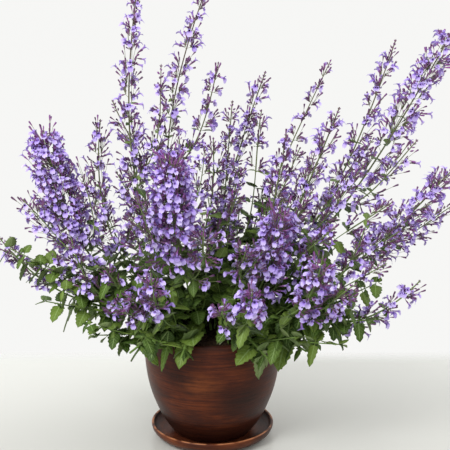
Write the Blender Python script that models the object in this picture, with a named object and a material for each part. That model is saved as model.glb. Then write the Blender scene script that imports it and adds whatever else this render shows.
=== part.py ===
# Potted catmint: a flowering bush that grows in a turned clay pot, which stands on its saucer.
# Sizes are in metres. The origin is the middle of the saucer's underside, +Z is up,
# +X is to the right and -Y is the front.
import math
import random

import bmesh
import bpy
import numpy as np
from mathutils.bvhtree import BVHTree

# Driving dimensions of the pot
POT_HEIGHT = 0.172
POT_BELLY_RADIUS = 0.101
POT_BELLY_HEIGHT = 0.137
POT_BASE_RADIUS = 0.054
POT_BOWL_POWER = 1.6
POT_RIM_RADIUS = 0.0985
POT_WALL = 0.007
POT_FLOOR = 0.008
DRAIN_RADIUS = 0.007

# Driving dimensions of the saucer
SAUCER_HEIGHT = 0.020
SAUCER_RADIUS = 0.092
SAUCER_BASE_RADIUS = 0.068
SAUCER_FLOOR = 0.0057
SAUCER_LIP = 0.004
SAUCER_WELL_RADIUS = 0.064

# Round pieces, and the gap that pieces which touch keep between them
TURN_SIDES = 28
SEAT_GAP = 0.0003

# Driving dimensions of the soil: how high it stands, its low dome, its lumps with the
# number of waves in a metre that makes them, and the holes that the stems stand in
SOIL_HEIGHT = 0.157
SOIL_DOME = 0.004
SOIL_EDGE = 0.0025
SOIL_RINGS = (0.066, 0.036)
SOIL_LUMPS = 0.0008
SOIL_WAVES = (190, 170)
HOLE_DEPTH = 0.018
HOLE_CLEARANCE = 0.0004

# Where the stems stand. The bush spreads a little further to the right than to the left.
BUSH_X = 0.02
ROOT_REACH = 0.056
ROOT_SPACING = 0.013
FURTHEST_LEAN = math.radians(75)
COLLAR = 0.004

# Stems: radii at the foot and at the top, the longest straight piece, and the length that
# a pair of leaves takes up
STEM_RADIUS = 0.0021
STEM_END_RADIUS = 0.0015
RING_STEP = 0.085
LEAF_JOINT = 0.0016

# How a flowering stem bends: its least rise out of the pot, how much of its lean to the
# front or back is left at its tip, and how far each end keeps its direction
LEAST_RISE = math.radians(30)
TIP_DEPTH_SHARE = 0.6
STEM_PULLS = (0.36, 0.54)

# How a leafy shoot bends: its rise out of the soil, the rise of its hanging tip, and how
# far each end keeps its direction
SHOOT_RISES = (math.radians(62), math.radians(-20))
SHOOT_PULL = 0.42

# Leaves: thickness, degrees that they are raised, furthest turn sideways, share of the
# length that they droop, the steepest slope, and the length from which they have teeth
LEAF_THICKNESS = 0.0007
LEAF_RAISED = (15, 40)
LEAF_ASIDE = 12
LEAF_DROOP = (0.15, 0.40)
STEEPEST_LEAF = 0.93
LARGE_LEAF = 0.022

# Flower spikes: radii of the stalk at its foot and tip, the height of a whorl, where the
# first whorl is, and how much further apart whorls are at the foot than in the middle
SPIKE_RADII = (0.0014, 0.0009)
SIDE_RADII = (0.0011, 0.0008)
WHORL_HEIGHT = 0.003
FIRST_WHORL = 0.009
SIDE_FIRST_WHORL = 0.017
GAP_LOW = 1.80
GAP_DROP = 1.15
BARE_TIP = 0.005

# Florets: the share of a spike that is open, how much they shrink up the spike, the reach
# from which a whorl has six and not three, their size on side spikes, the mouth's radius as
# a share of the reach, and their rise
FLOWERING_SHARE = 0.88
TOP_SHRINK = 0.50
FULL_REACH = 0.026
SIDE_SHARE = 0.85
MOUTH_SHARE = 0.38
FLORET_RISE = 32
BUD_LENGTH = 0.0060
BUD_RISE = 46

# How a side spike bends: how much it follows its spike at its foot and at its tip, and how
# far each end keeps its direction
SIDE_FOLLOWS = (0.5, 0.8)
SIDE_PULL = 0.35

# Room that new pieces leave around themselves, and the seed of every random draw
LEAF_SPARE = 0.0006
TUBE_SPARE = 0.0003
FLORET_SPARE = 0.0006
SEED = 11

# Each flowering stem: its tip, how many degrees the tip leans to the right, the length of
# its flower spike, the distance between its whorls and how far its florets reach out
FLOWERING = (
    ((-0.080, -0.165, 0.300), -2, 0.135, 0.022, 0.026),
    ((0.055, -0.190, 0.285), 2, 0.125, 0.022, 0.024),
    ((0.150, -0.150, 0.320), 6, 0.135, 0.022, 0.028),
    ((0.290, -0.100, 0.270), 38, 0.140, 0.025, 0.020),
    ((-0.195, -0.085, 0.330), -8, 0.150, 0.025, 0.020),
    ((-0.310, -0.030, 0.320), -34, 0.160, 0.025, 0.021),
    ((-0.055, -0.120, 0.450), -2, 0.210, 0.023, 0.034),
    ((0.095, -0.100, 0.375), 6, 0.170, 0.023, 0.030),
    ((0.215, -0.080, 0.345), 14, 0.160, 0.024, 0.022),
    ((0.345, -0.025, 0.415), 40, 0.210, 0.024, 0.028),
    ((-0.235, -0.035, 0.470), -8, 0.240, 0.024, 0.033),
    ((-0.165, 0.060, 0.470), 6, 0.210, 0.026, 0.020),
    ((0.180, -0.020, 0.500), 20, 0.270, 0.025, 0.025),
    ((0.105, -0.035, 0.465), 8, 0.230, 0.026, 0.022),
    ((-0.105, 0.020, 0.660), 8, 0.370, 0.027, 0.021),
    ((-0.010, 0.060, 0.655), 20, 0.370, 0.027, 0.022),
    ((0.080, 0.110, 0.535), 20, 0.300, 0.027, 0.022),
    ((0.180, 0.130, 0.550), 26, 0.260, 0.030, 0.017),
    ((0.270, 0.080, 0.585), 18, 0.310, 0.027, 0.022),
    ((0.350, 0.050, 0.605), 28, 0.310, 0.026, 0.027),
    ((-0.055, 0.170, 0.440), -6, 0.220, 0.026, 0.023),
    ((0.165, 0.205, 0.400), 14, 0.200, 0.026, 0.023),
    ((-0.180, 0.155, 0.350), -16, 0.180, 0.026, 0.023),
    ((0.035, 0.230, 0.325), 2, 0.170, 0.026, 0.023),
)

# Each side spike: the number of the stem it grows on, the whorl it leaves from and its tip
SIDE_SPIKES = (
    (1, 1, (-0.115, -0.150, 0.265)),
    (2, 1, (0.015, -0.180, 0.255)),
    (3, 1, (0.195, -0.165, 0.285)),
    (5, 1, (-0.150, -0.100, 0.290)),
    (7, 1, (-0.010, -0.140, 0.355)),
    (7, 2, (-0.100, -0.130, 0.395)),
    (8, 1, (0.050, -0.125, 0.330)),
    (9, 1, (0.240, -0.120, 0.300)),
    (10, 1, (0.360, 0.030, 0.350)),
    (11, 1, (-0.265, -0.055, 0.375)),
    (11, 2, (-0.180, -0.060, 0.410)),
    (12, 1, (-0.115, 0.045, 0.430)),
    (13, 1, (0.140, -0.070, 0.390)),
    (13, 2, (0.215, -0.060, 0.430)),
    (15, 3, (-0.070, -0.020, 0.560)),
    (16, 3, (0.010, 0.010, 0.560)),
    (16, 1, (-0.010, -0.020, 0.445)),
    (17, 1, (0.030, 0.080, 0.495)),
    (19, 1, (0.235, 0.020, 0.450)),
    (20, 1, (0.295, 0.000, 0.450)),
    (22, 1, (0.205, 0.220, 0.350)),
    (24, 1, (0.000, 0.240, 0.295)),
)

# Each leafy shoot's tip, where it hangs over the pot's rim
SHOOTS = (
    (-0.115, -0.105, 0.165),
    (-0.042, -0.140, 0.170),
    (0.080, -0.130, 0.165),
    (0.135, -0.085, 0.160),
    (0.160, 0.070, 0.185),
    (0.072, 0.145, 0.180),
    (-0.005, 0.155, 0.180),
    (-0.085, 0.135, 0.180),
    (-0.165, 0.020, 0.190),
)

# Leaf pairs on a flowering stem: the lowest pair's place above the soil, which takes turns
# from stem to stem, the step from pair to pair, and the leaves' lengths from the lowest up
FIRST_PAIR = (0.064, 0.088)
PAIR_STEP = 0.050
PAIR_LENGTHS = (0.042, 0.036, 0.024)
BRACT_LENGTH = 0.015
BRACT_BELOW_SPIKE = 0.016
PAIR_BELOW_BRACT = 0.015

# Leaf pairs on a leafy shoot: place above the soil and the leaf's length
SHOOT_LEAVES = ((0.050, 0.042), (0.082, 0.042), (0.112, 0.038), (0.138, 0.028))

# Clay and plant colours, as linear red, green and blue, with their roughness
CLAY = (0.150, 0.042, 0.022)
SAUCER_CLAY = (0.180, 0.052, 0.026)
SOIL = (0.045, 0.028, 0.018)
STEM_GREEN = (0.110, 0.180, 0.060)
LEAF_GREEN = (0.085, 0.190, 0.045)
VIOLET = (0.270, 0.170, 0.620)
CLAY_ROUGHNESS = 0.35
SOIL_ROUGHNESS = 0.95
LEAF_ROUGHNESS = 0.60
PETAL_ROUGHNESS = 0.70

UP = np.array((0.0, 0.0, 1.0))


def unit(vector):
    return vector / np.linalg.norm(vector)


def finish_object(name, mesh, colour, roughness, smooth_angle=None):
    """One named object with a material of its own"""
    material = bpy.data.materials.new(name)
    material.use_nodes = True
    shader = material.node_tree.nodes["Principled BSDF"]
    shader.inputs["Base Color"].default_value = (*colour, 1.0)
    shader.inputs["Roughness"].default_value = roughness
    shader.inputs["Metallic"].default_value = 0.0
    mesh.materials.append(material)
    if smooth_angle is not None:
        mesh.shade_smooth()
        mesh.set_sharp_from_angle(angle=smooth_angle)
    thing = bpy.data.objects.new(name, mesh)
    bpy.context.scene.collection.objects.link(thing)
    return thing


# Turned pieces
def turned_mesh(name, outline, closed):
    """A solid of revolution from an outline of (radius, height) points"""
    shape = bmesh.new()
    points = [shape.verts.new((radius, 0.0, height)) for radius, height in outline]
    pairs = list(zip(points, points[1:]))
    if closed:
        pairs.append((points[-1], points[0]))
    edges = [shape.edges.new(pair) for pair in pairs]
    bmesh.ops.spin(
        shape,
        geom=points + edges,
        cent=(0, 0, 0),
        axis=(0, 0, 1),
        angle=math.tau,
        steps=TURN_SIDES,
        use_merge=False,
    )
    bmesh.ops.remove_doubles(shape, verts=shape.verts, dist=1e-6)
    bmesh.ops.recalc_face_normals(shape, faces=shape.faces)
    mesh = bpy.data.meshes.new(name)
    shape.to_mesh(mesh)
    shape.free()
    return mesh


def bowl_arc(base_radius, belly_radius, base_height, belly_height, steps, power=1.0):
    """A curve that sweeps out and up from the base to the belly, a quarter ellipse at power 1"""
    arc = []
    for step in range(steps + 1):
        turn = math.pi / 2 * step / steps
        radius = base_radius + (belly_radius - base_radius) * math.sin(turn) ** power
        height = belly_height - (belly_height - base_height) * math.cos(turn)
        arc.append((radius, height))
    return arc


POT_UNDERSIDE = SAUCER_FLOOR + SEAT_GAP
POT_INSIDE_FLOOR = POT_UNDERSIDE + POT_FLOOR
POT_INSIDE_BELLY = POT_BELLY_RADIUS - POT_WALL
POT_INSIDE_BASE = POT_BASE_RADIUS - POT_WALL
POT_INSIDE_RIM = POT_RIM_RADIUS - POT_WALL


def pot_inside(gap):
    """The curve of the pot's inside wall, or one that keeps a gap to it"""
    return bowl_arc(
        POT_INSIDE_BASE - gap,
        POT_INSIDE_BELLY - gap,
        POT_INSIDE_FLOOR + gap,
        POT_BELLY_HEIGHT,
        4,
        POT_BOWL_POWER,
    )


def make_pot():
    """The pot: a rounded bowl with a soft lip and a drainage hole in its floor"""
    lip = POT_WALL / 2
    middle = POT_RIM_RADIUS - lip
    outside = bowl_arc(
        POT_BASE_RADIUS, POT_BELLY_RADIUS, POT_UNDERSIDE, POT_BELLY_HEIGHT, 5, POT_BOWL_POWER
    )
    rim = [
        (middle + lip * math.cos(turn), POT_HEIGHT - lip + lip * math.sin(turn))
        for turn in np.linspace(0, math.pi, 4)
    ]
    inside = pot_inside(0.0)
    outline = [(DRAIN_RADIUS, POT_UNDERSIDE), *outside, *rim, *reversed(inside)]
    outline.append((DRAIN_RADIUS, POT_INSIDE_FLOOR))
    mesh = turned_mesh("pot", outline, closed=True)
    return finish_object("pot", mesh, CLAY, CLAY_ROUGHNESS, smooth_angle=math.radians(40))


def make_saucer():
    """The saucer: a shallow dish with a flat underside and a rounded lip"""
    lip = SAUCER_LIP / 2
    lip_height = SAUCER_HEIGHT - lip
    middle = SAUCER_RADIUS - lip
    outside = bowl_arc(SAUCER_BASE_RADIUS, SAUCER_RADIUS, 0.0, lip_height, 3)
    edge = [
        (middle + lip * math.cos(turn), lip_height + lip * math.sin(turn))
        for turn in np.linspace(0, math.pi, 4)[1:-1]
    ]
    inside_radius = SAUCER_RADIUS - SAUCER_LIP
    inside = bowl_arc(SAUCER_WELL_RADIUS, inside_radius, SAUCER_FLOOR, lip_height, 3)
    outline = [(0.0, 0.0), *outside, *edge, *reversed(inside), (0.0, SAUCER_FLOOR)]
    mesh = turned_mesh("saucer", outline, closed=False)
    smooth_angle = math.radians(40)
    return finish_object("saucer", mesh, SAUCER_CLAY, CLAY_ROUGHNESS, smooth_angle)


def soil_top(x, y):
    """Height of the soil's surface: a low dome with gentle lumps"""
    share = math.hypot(x, y) / POT_INSIDE_RIM
    lumps = math.sin(x * SOIL_WAVES[0] + 1.0) * math.sin(y * SOIL_WAVES[1] + 2.0)
    return SOIL_HEIGHT + SOIL_DOME * (1 - share * share) + SOIL_LUMPS * lumps


def make_soil(roots):
    """The soil: fills the pot, with a plain square hole for each stem"""
    wall = pot_inside(SEAT_GAP)
    top = [(radius, SOIL_HEIGHT) for radius in (POT_INSIDE_BELLY - SOIL_EDGE, *SOIL_RINGS)]
    outline = [(0.0, wall[0][1]), *wall, *top, (0.0, SOIL_HEIGHT)]
    mesh = turned_mesh("soil", outline, closed=False)
    for vertex in mesh.vertices:
        if vertex.co.z > SOIL_HEIGHT - 0.001:
            vertex.co.z = soil_top(vertex.co.x, vertex.co.y)
    soil = finish_object("soil", mesh, SOIL, SOIL_ROUGHNESS)
    holes = bpy.data.collections.new("stem holes")
    for number, (x, y) in enumerate(roots):
        depth = 2 * HOLE_DEPTH
        bpy.ops.mesh.primitive_cylinder_add(
            vertices=4,
            radius=STEM_RADIUS + HOLE_CLEARANCE * math.sqrt(2),
            depth=depth,
            location=(x, y, soil_top(x, y) - HOLE_DEPTH - HOLE_CLEARANCE + depth / 2),
        )
        cutter = bpy.context.object
        cutter.name = f"hole cutter {number + 1}"
        for home in list(cutter.users_collection):
            home.objects.unlink(cutter)
        holes.objects.link(cutter)
    cut = soil.modifiers.new("holes", "BOOLEAN")
    cut.operation = "DIFFERENCE"
    cut.operand_type = "COLLECTION"
    cut.collection = holes
    cut.solver = "EXACT"
    solid = bpy.data.meshes.new_from_object(soil.evaluated_get(bpy.context.evaluated_depsgraph_get()))
    soil.modifiers.remove(cut)
    soil.data = solid
    for cutter in list(holes.objects):
        bpy.data.objects.remove(cutter)
    bpy.data.collections.remove(holes)
    return soil


# The plan of the plant: where each stem stands and the line that it follows
class Line:
    """A smooth line through space, read by the length along it, with a frame that doesn't twist"""

    def __init__(self, corners, lead=None):
        samples = 60
        share = np.linspace(0, 1, samples)[:, None]
        a, b, c, d = (np.array(corner, float) for corner in corners)
        rest = 1 - share
        points = rest**3 * a + 3 * rest**2 * share * b + 3 * rest * share**2 * c + share**3 * d
        if lead is not None:
            points = np.vstack([np.array(lead, float), points])
        steps = np.diff(points, axis=0)
        lengths = np.linalg.norm(steps, axis=1)
        self.reach = np.concatenate([[0], np.cumsum(lengths)])
        self.length = self.reach[-1]
        self.points = points
        tangents = np.gradient(points, self.reach, axis=0)
        self.tangents = tangents / np.linalg.norm(tangents, axis=1)[:, None]
        sides = []
        side = np.array((1.0, 0.0, 0.0))
        for tangent in self.tangents:
            side = unit(side - tangent * side.dot(tangent))
            sides.append(side)
        self.sides = np.array(sides)

    def at(self, reach):
        """Point, direction and two cross directions at a length along the line"""
        point = np.array([np.interp(reach, self.reach, self.points[:, k]) for k in range(3)])
        ahead = unit(np.array([np.interp(reach, self.reach, self.tangents[:, k]) for k in range(3)]))
        side = np.array([np.interp(reach, self.reach, self.sides[:, k]) for k in range(3)])
        side = unit(side - ahead * side.dot(ahead))
        return point, ahead, side, np.cross(ahead, side)


def settle_roots(tips):
    """Where the stems stand: each under its side of the bush, further out the more it leans"""
    roots = []
    for x, y, z in tips:
        reach = math.hypot(x - BUSH_X, y)
        lean = math.atan2(reach, z - SOIL_HEIGHT)
        share = min(lean / FURTHEST_LEAN, 1.0)
        roots.append([(x - BUSH_X) / reach * ROOT_REACH * share, y / reach * ROOT_REACH * share])
    roots = np.array(roots)
    for _ in range(300):
        for first in range(len(roots)):
            for second in range(first + 1, len(roots)):
                apart = roots[second] - roots[first]
                distance = np.linalg.norm(apart)
                if distance < ROOT_SPACING:
                    push = apart / distance * (ROOT_SPACING - distance) / 2
                    roots[first] -= push
                    roots[second] += push
        reach = np.linalg.norm(roots, axis=1)
        roots *= np.minimum(1, ROOT_REACH / reach)[:, None]
    return [(float(x), float(y)) for x, y in roots]


def tilted(sideways, elevation):
    """A direction that points along a level one, raised by an angle"""
    return np.array((*(sideways * math.cos(elevation)), math.sin(elevation)))


def stem_line(root, tip, lean):
    """The line of a flowering stem: out of the soil, then an even arc up to its leaning tip"""
    x, y = root
    foot = np.array((x, y, soil_top(x, y)))
    start = foot + UP * COLLAR
    tip = np.array(tip)
    chord = tip - start
    length = np.linalg.norm(chord)
    along = chord / length
    turned = math.radians(lean)
    last = unit(np.array((math.sin(turned), along[1] * TIP_DEPTH_SHARE, math.cos(turned))))
    first = 2 * last.dot(along) * along - last
    level = np.linalg.norm(first[:2])
    if math.atan2(first[2], level) < LEAST_RISE:
        first = tilted(unit(first[:2]), LEAST_RISE)
    pulls = [length * share for share in STEM_PULLS]
    corners = (start, start + first * pulls[0], tip - last * pulls[1], tip)
    return Line(corners, lead=foot - UP * HOLE_DEPTH)


def shoot_line(root, tip):
    """The line of a leafy shoot: up out of the soil, over the pot's rim and down"""
    x, y = root
    foot = np.array((x, y, soil_top(x, y)))
    start = foot + UP * COLLAR
    tip = np.array(tip)
    chord = tip - start
    length = np.linalg.norm(chord)
    sideways = unit(chord[:2])
    first, last = (tilted(sideways, rise) for rise in SHOOT_RISES)
    pull = length * SHOOT_PULL
    corners = (start, start + first * pull, tip - last * pull, tip)
    return Line(corners, lead=foot - UP * HOLE_DEPTH)


# Meshes that grow: faces are pulled out of them, so that each stays one closed body
class Growth:
    """Points and triangles of one body"""

    def __init__(self):
        self.points = []
        self.faces = []

    def add(self, points):
        first = len(self.points)
        self.points.extend(np.array(point, float) for point in points)
        return list(range(first, first + len(points)))

    def bridge(self, low, high):
        """A band of triangles between two rings of as many points"""
        count = len(low)
        for k in range(count):
            after = (k + 1) % count
            self.faces.append((low[k], low[after], high[after]))
            self.faces.append((low[k], high[after], high[k]))

    def close(self, ring, end):
        """Triangles from a ring to one end point"""
        count = len(ring)
        for k in range(count):
            self.faces.append((ring[k], ring[(k + 1) % count], end))

    def mesh(self, name):
        mesh = bpy.data.meshes.new(name)
        mesh.from_pydata([tuple(point) for point in self.points], [], self.faces)
        return mesh


def cross_ring(line, reach, radius, count, turn):
    """Corners of a stem's section"""
    point, ahead, side, other = line.at(reach)
    ring = []
    for k in range(count):
        angle = turn + math.tau * k / count
        ring.append(point + radius * (side * math.cos(angle) + other * math.sin(angle)))
    return ring


# Keeping pieces clear of each other
class Crowd:
    """Everything placed so far, to keep new leaves and florets clear of it"""

    def __init__(self):
        self.centres = np.zeros((0, 3))
        self.radii = np.zeros(0)
        self.trees = []

    def put(self, points, faces):
        points = np.array(points)
        centre = points.mean(axis=0)
        self.centres = np.vstack([self.centres, centre])
        self.radii = np.append(self.radii, np.linalg.norm(points - centre, axis=1).max())
        self.trees.append(BVHTree.FromPolygons(points.tolist(), faces))

    def put_tube(self, line, places, radius_at, count):
        """A stem's tube, piece by piece between its rings"""
        faces = [(k, (k + 1) % count, (k + 1) % count + count, k + count) for k in range(count)]
        rings = [cross_ring(line, place, radius_at(place) + TUBE_SPARE, count, 0) for place in places]
        for low, high in zip(rings, rings[1:]):
            self.put(low + high, faces)

    def clear(self, points, faces):
        points = np.array(points)
        centre = points.mean(axis=0)
        radius = np.linalg.norm(points - centre, axis=1).max()
        near = np.linalg.norm(self.centres - centre, axis=1) < self.radii + radius
        tree = BVHTree.FromPolygons(points.tolist(), faces)
        return not any(self.trees[k].overlap(tree) for k in np.flatnonzero(near))


# Leaf outlines from the stalk on: shares of the length on the left and on the right edge,
# and the half widths there as shares of the length
LEAF_OUTLINE = (
    (0.13, 0.13, 0.035, 0.035),
    (0.28, 0.36, 0.300, 0.330),
    (0.49, 0.52, 0.255, 0.240),
    (0.63, 0.70, 0.275, 0.250),
)
BRACT_OUTLINE = (
    (0.15, 0.15, 0.050, 0.050),
    (0.45, 0.50, 0.230, 0.230),
)

# What a leaf tries in turn to stay clear: degrees sideways, degrees raised, share of its length
LEAF_TRIES = tuple(
    (aside, raised, size)
    for size in (1.0, 0.82, 0.66)
    for raised in (0, 18, -18, 34)
    for aside in (0, 22, -22, 40, -40)
)

# What a floret tries in turn to stay clear: share of its size, degrees raised
FLORET_TRIES = ((1.0, 0), (1.0, 24), (0.8, 0), (0.8, 24), (0.8, -24), (0.62, 0), (0.62, 30))
FLORET_FACES = ((0, 2, 1), (0, 1, 4), (0, 4, 3), (1, 2, 5), (1, 5, 4), (2, 0, 3), (2, 3, 5), (3, 4, 5))
BUD_FACES = ((0, 2, 1), (0, 1, 3), (1, 2, 3), (2, 0, 3))


# Leaves
def leaf_sections(root, direction, length, droop, outline, spare=0.0):
    """Four-cornered sections of a blade, on a midrib that bends down, and the blade's tip"""
    right = unit(np.cross(UP, direction))
    sections = []
    for left_share, right_share, left_width, right_width in outline:
        edges = []
        for share, width in ((left_share, -left_width), (right_share, right_width)):
            middle = root + direction * length * share - UP * length * droop * share * share
            half = np.cross(unit(direction - UP * 2 * droop * share), right)
            half = half * (LEAF_THICKNESS / 2 + spare)
            edge = middle + right * (width * length + math.copysign(spare, width))
            edges.append((edge, half))
        (left, left_half), (far, far_half) = edges
        sections.append((left - left_half, far - far_half, far + far_half, left + left_half))
    return sections, root + direction * (length + spare) - UP * length * droop


def blade_faces(low, high):
    """A band of a leaf, split into triangles alike on its two faces"""
    return [
        (low[0], low[1], high[1]),
        (low[0], high[1], high[0]),
        (low[1], low[2], high[2]),
        (low[1], high[2], high[1]),
        (low[2], low[3], high[2]),
        (low[3], high[3], high[2]),
        (low[3], low[0], high[0]),
        (low[3], high[0], high[3]),
    ]


def blade_shape(sections, tip):
    """A blade on its own, closed at its root, to test whether it is clear"""
    points = [corner for section in sections for corner in section] + [tip]
    faces = [(0, 2, 1), (0, 3, 2)]
    for first in range(0, 4 * len(sections) - 4, 4):
        faces += blade_faces(range(first, first + 4), range(first + 4, first + 8))
    last = 4 * len(sections) - 4
    faces += [(last + k, last + (k + 1) % 4, len(points) - 1) for k in range(4)]
    return points, faces


def matched(ring, section, points):
    """A root's four corners, in the order that meets the nearest corners of the section"""

    def strain(turn):
        return sum(np.linalg.norm(points[ring[(k + turn) % 4]] - section[k]) for k in range(4))

    best = min(range(4), key=strain)
    return [ring[(k + best) % 4] for k in range(4)]


def grow_leaf(body, ring, outward, ahead, length, crowd, draw):
    """A leaf pulled out of a stem's side, which stays plain where no leaf finds room"""
    root = sum(body.points[k] for k in ring) / 4
    outline = LEAF_OUTLINE if length > LARGE_LEAF else BRACT_OUTLINE
    raised = draw.uniform(*LEAF_RAISED)
    aside = draw.uniform(-LEAF_ASIDE, LEAF_ASIDE)
    droop = draw.uniform(*LEAF_DROOP)
    across = np.cross(ahead, outward)
    for more_aside, more_raised, size in LEAF_TRIES:
        turn = math.radians(aside + more_aside)
        lift = math.radians(raised + more_raised)
        level = outward * math.cos(turn) + across * math.sin(turn)
        direction = unit(level * math.cos(lift) + unit(ahead + UP) * math.sin(lift))
        if abs(direction[2]) > STEEPEST_LEAF:
            continue
        sections, tip = leaf_sections(root, direction, length * size, droop, outline)
        low = matched(ring, sections[0], body.points)
        corners = [body.points[k] for k in low]
        wide, far = leaf_sections(root, direction, length * size, droop, outline, LEAF_SPARE)
        stalk = [(corner + other) / 2 for corner, other in zip(corners, wide[0])]
        if not crowd.clear(*blade_shape([stalk, *wide], far)):
            continue
        crowd.put(*blade_shape([corners, *sections], tip))
        for section in sections:
            high = body.add(section)
            body.faces.extend(blade_faces(low, high))
            low = high
        body.close(low, body.add([tip])[0])
        return
    body.faces.extend([(ring[0], ring[1], ring[2]), (ring[0], ring[2], ring[3])])


# Stems
def leaf_pairs(number, last):
    """Places and lengths of the leaf pairs on a flowering stem that ends at a given place"""
    top = last - BRACT_BELOW_SPIKE
    pairs = []
    for step, length in enumerate(PAIR_LENGTHS):
        place = HOLE_DEPTH + FIRST_PAIR[number % 2] + PAIR_STEP * step
        if place < top - PAIR_BELOW_BRACT:
            pairs.append((place, length))
    if len(pairs) < len(PAIR_LENGTHS):
        pairs.append((top, BRACT_LENGTH))
    return pairs


def stem_places(last, pairs):
    """Places of a stem's rings: below and above each leaf pair, and between where it bends"""
    places = [HOLE_DEPTH + COLLAR]
    for place, _ in [*pairs, (last + LEAF_JOINT, 0.0)]:
        start = places[-1]
        gaps = max(1, math.ceil((place - LEAF_JOINT - start) / RING_STEP))
        places += [start + (place - LEAF_JOINT - start) * k / gaps for k in range(1, gaps + 1)]
        if place < last:
            places.append(place + LEAF_JOINT)
    return [0.0, *places]


def stem_radius(place, last):
    return STEM_RADIUS + (STEM_END_RADIUS - STEM_RADIUS) * place / last


def grow_stem(line, last, pairs, quarter, crowd, draw):
    """A square stem with pairs of leaves, each pair turned a quarter from the one below"""
    body = Growth()
    lengths = {round(place - LEAF_JOINT, 6): length for place, length in pairs}
    places = stem_places(last, pairs)
    ring = body.add(cross_ring(line, 0.0, STEM_RADIUS, 4, 0.0))
    body.faces.extend([(ring[2], ring[1], ring[0]), (ring[3], ring[2], ring[0])])
    length = 0.0
    for place in places[1:]:
        high = body.add(cross_ring(line, place, stem_radius(place, last), 4, 0.0))
        if not length:
            body.bridge(ring, high)
        else:
            _, ahead, side, other = line.at(place - LEAF_JOINT)
            for face in range(4):
                after = (face + 1) % 4
                corners = [ring[face], ring[after], high[after], high[face]]
                if face % 2 != quarter:
                    body.faces.extend([corners[:3], [corners[0], corners[2], corners[3]]])
                    continue
                angle = math.tau * (face + 0.5) / 4
                outward = side * math.cos(angle) + other * math.sin(angle)
                grow_leaf(body, corners, outward, ahead, length, crowd, draw)
            quarter = 1 - quarter
        length = lengths.get(round(place, 6), 0.0)
        ring = high
    body.faces.extend([(ring[0], ring[1], ring[2]), (ring[0], ring[2], ring[3])])
    return body


# Flower spikes
def whorl_places(start, end, first, gap):
    """Places of a spike's whorls, closer together towards the tip, and the size of each:
    the florets get smaller upwards, and size 0 stands for buds"""
    whorls = []
    place = start + first
    while place < end - BARE_TIP:
        share = (place - start) / (end - start)
        whorls.append((place, 1.0 - TOP_SHRINK * share if share < FLOWERING_SHARE else 0.0))
        place += gap * (GAP_LOW - GAP_DROP * share)
    return whorls


def floret_corners(root, ahead, length, mouth, rise):
    """A floret's mouth, opposite the three corners of its root: two for its lip, one for its hood"""
    middle = sum(root) / 3
    along = np.cross(root[1] - root[0], root[2] - root[0])
    along = unit(along - ahead * along.dot(ahead))
    direction = along * math.cos(rise) + ahead * math.sin(rise)
    across = np.cross(ahead, along)
    above = np.cross(direction, across)
    corners = []
    for point in root:
        angle = math.atan2((point - middle).dot(ahead), (point - middle).dot(across))
        reach = across * math.cos(angle) + above * math.sin(angle)
        corners.append(middle + direction * length + reach * mouth)
    return corners


def grow_floret(body, triangle, ahead, reach, crowd):
    """An open floret pulled out of one face of the spike's stalk; the face stays plain without room"""
    root = [body.points[k] for k in triangle]
    for size, raised in FLORET_TRIES:
        rise = math.radians(FLORET_RISE + raised)
        length = reach * size
        mouth = length * MOUTH_SHARE
        wide = floret_corners(root, ahead, length + FLORET_SPARE, mouth + FLORET_SPARE, rise)
        start = [(point * 3 + corner) / 4 for point, corner in zip(root, wide)]
        if not crowd.clear([*start, *wide], FLORET_FACES):
            continue
        corners = floret_corners(root, ahead, length, mouth, rise)
        ring = body.add(corners)
        body.bridge(triangle, ring)
        body.faces.append(ring)
        return [*root, *corners], FLORET_FACES
    body.faces.append(triangle)
    return None


def grow_bud(body, triangle, ahead, crowd):
    """A bud pulled out of one face of the spike's stalk"""
    root = [body.points[k] for k in triangle]
    rise = math.radians(BUD_RISE)
    end = floret_corners(root, ahead, BUD_LENGTH, 0.0, rise)[0]
    far = floret_corners(root, ahead, BUD_LENGTH + FLORET_SPARE, 0.0, rise)[0]
    start = [(point * 2 + far) / 3 for point in root]
    if not crowd.clear([*start, far], BUD_FACES):
        body.faces.append(triangle)
        return None
    body.close(triangle, body.add([end])[0])
    return [*root, end], BUD_FACES


def side_line(start, ahead, tip):
    """The line of a side spike: out from its spike, then up beside it"""
    chord = np.array(tip) - start
    length = np.linalg.norm(chord)
    outward = unit(chord - ahead * chord.dot(ahead))
    first = unit(outward + ahead * SIDE_FOLLOWS[0])
    last = unit(chord / length + ahead * SIDE_FOLLOWS[1])
    pull = length * SIDE_PULL
    return Line((start, start + first * pull, tip - last * pull, tip))


def spike_radius(place, whorls, line, radii):
    start = whorls[0][0]
    return radii[0] + (radii[1] - radii[0]) * (place - start) / (line.length - start)


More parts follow.
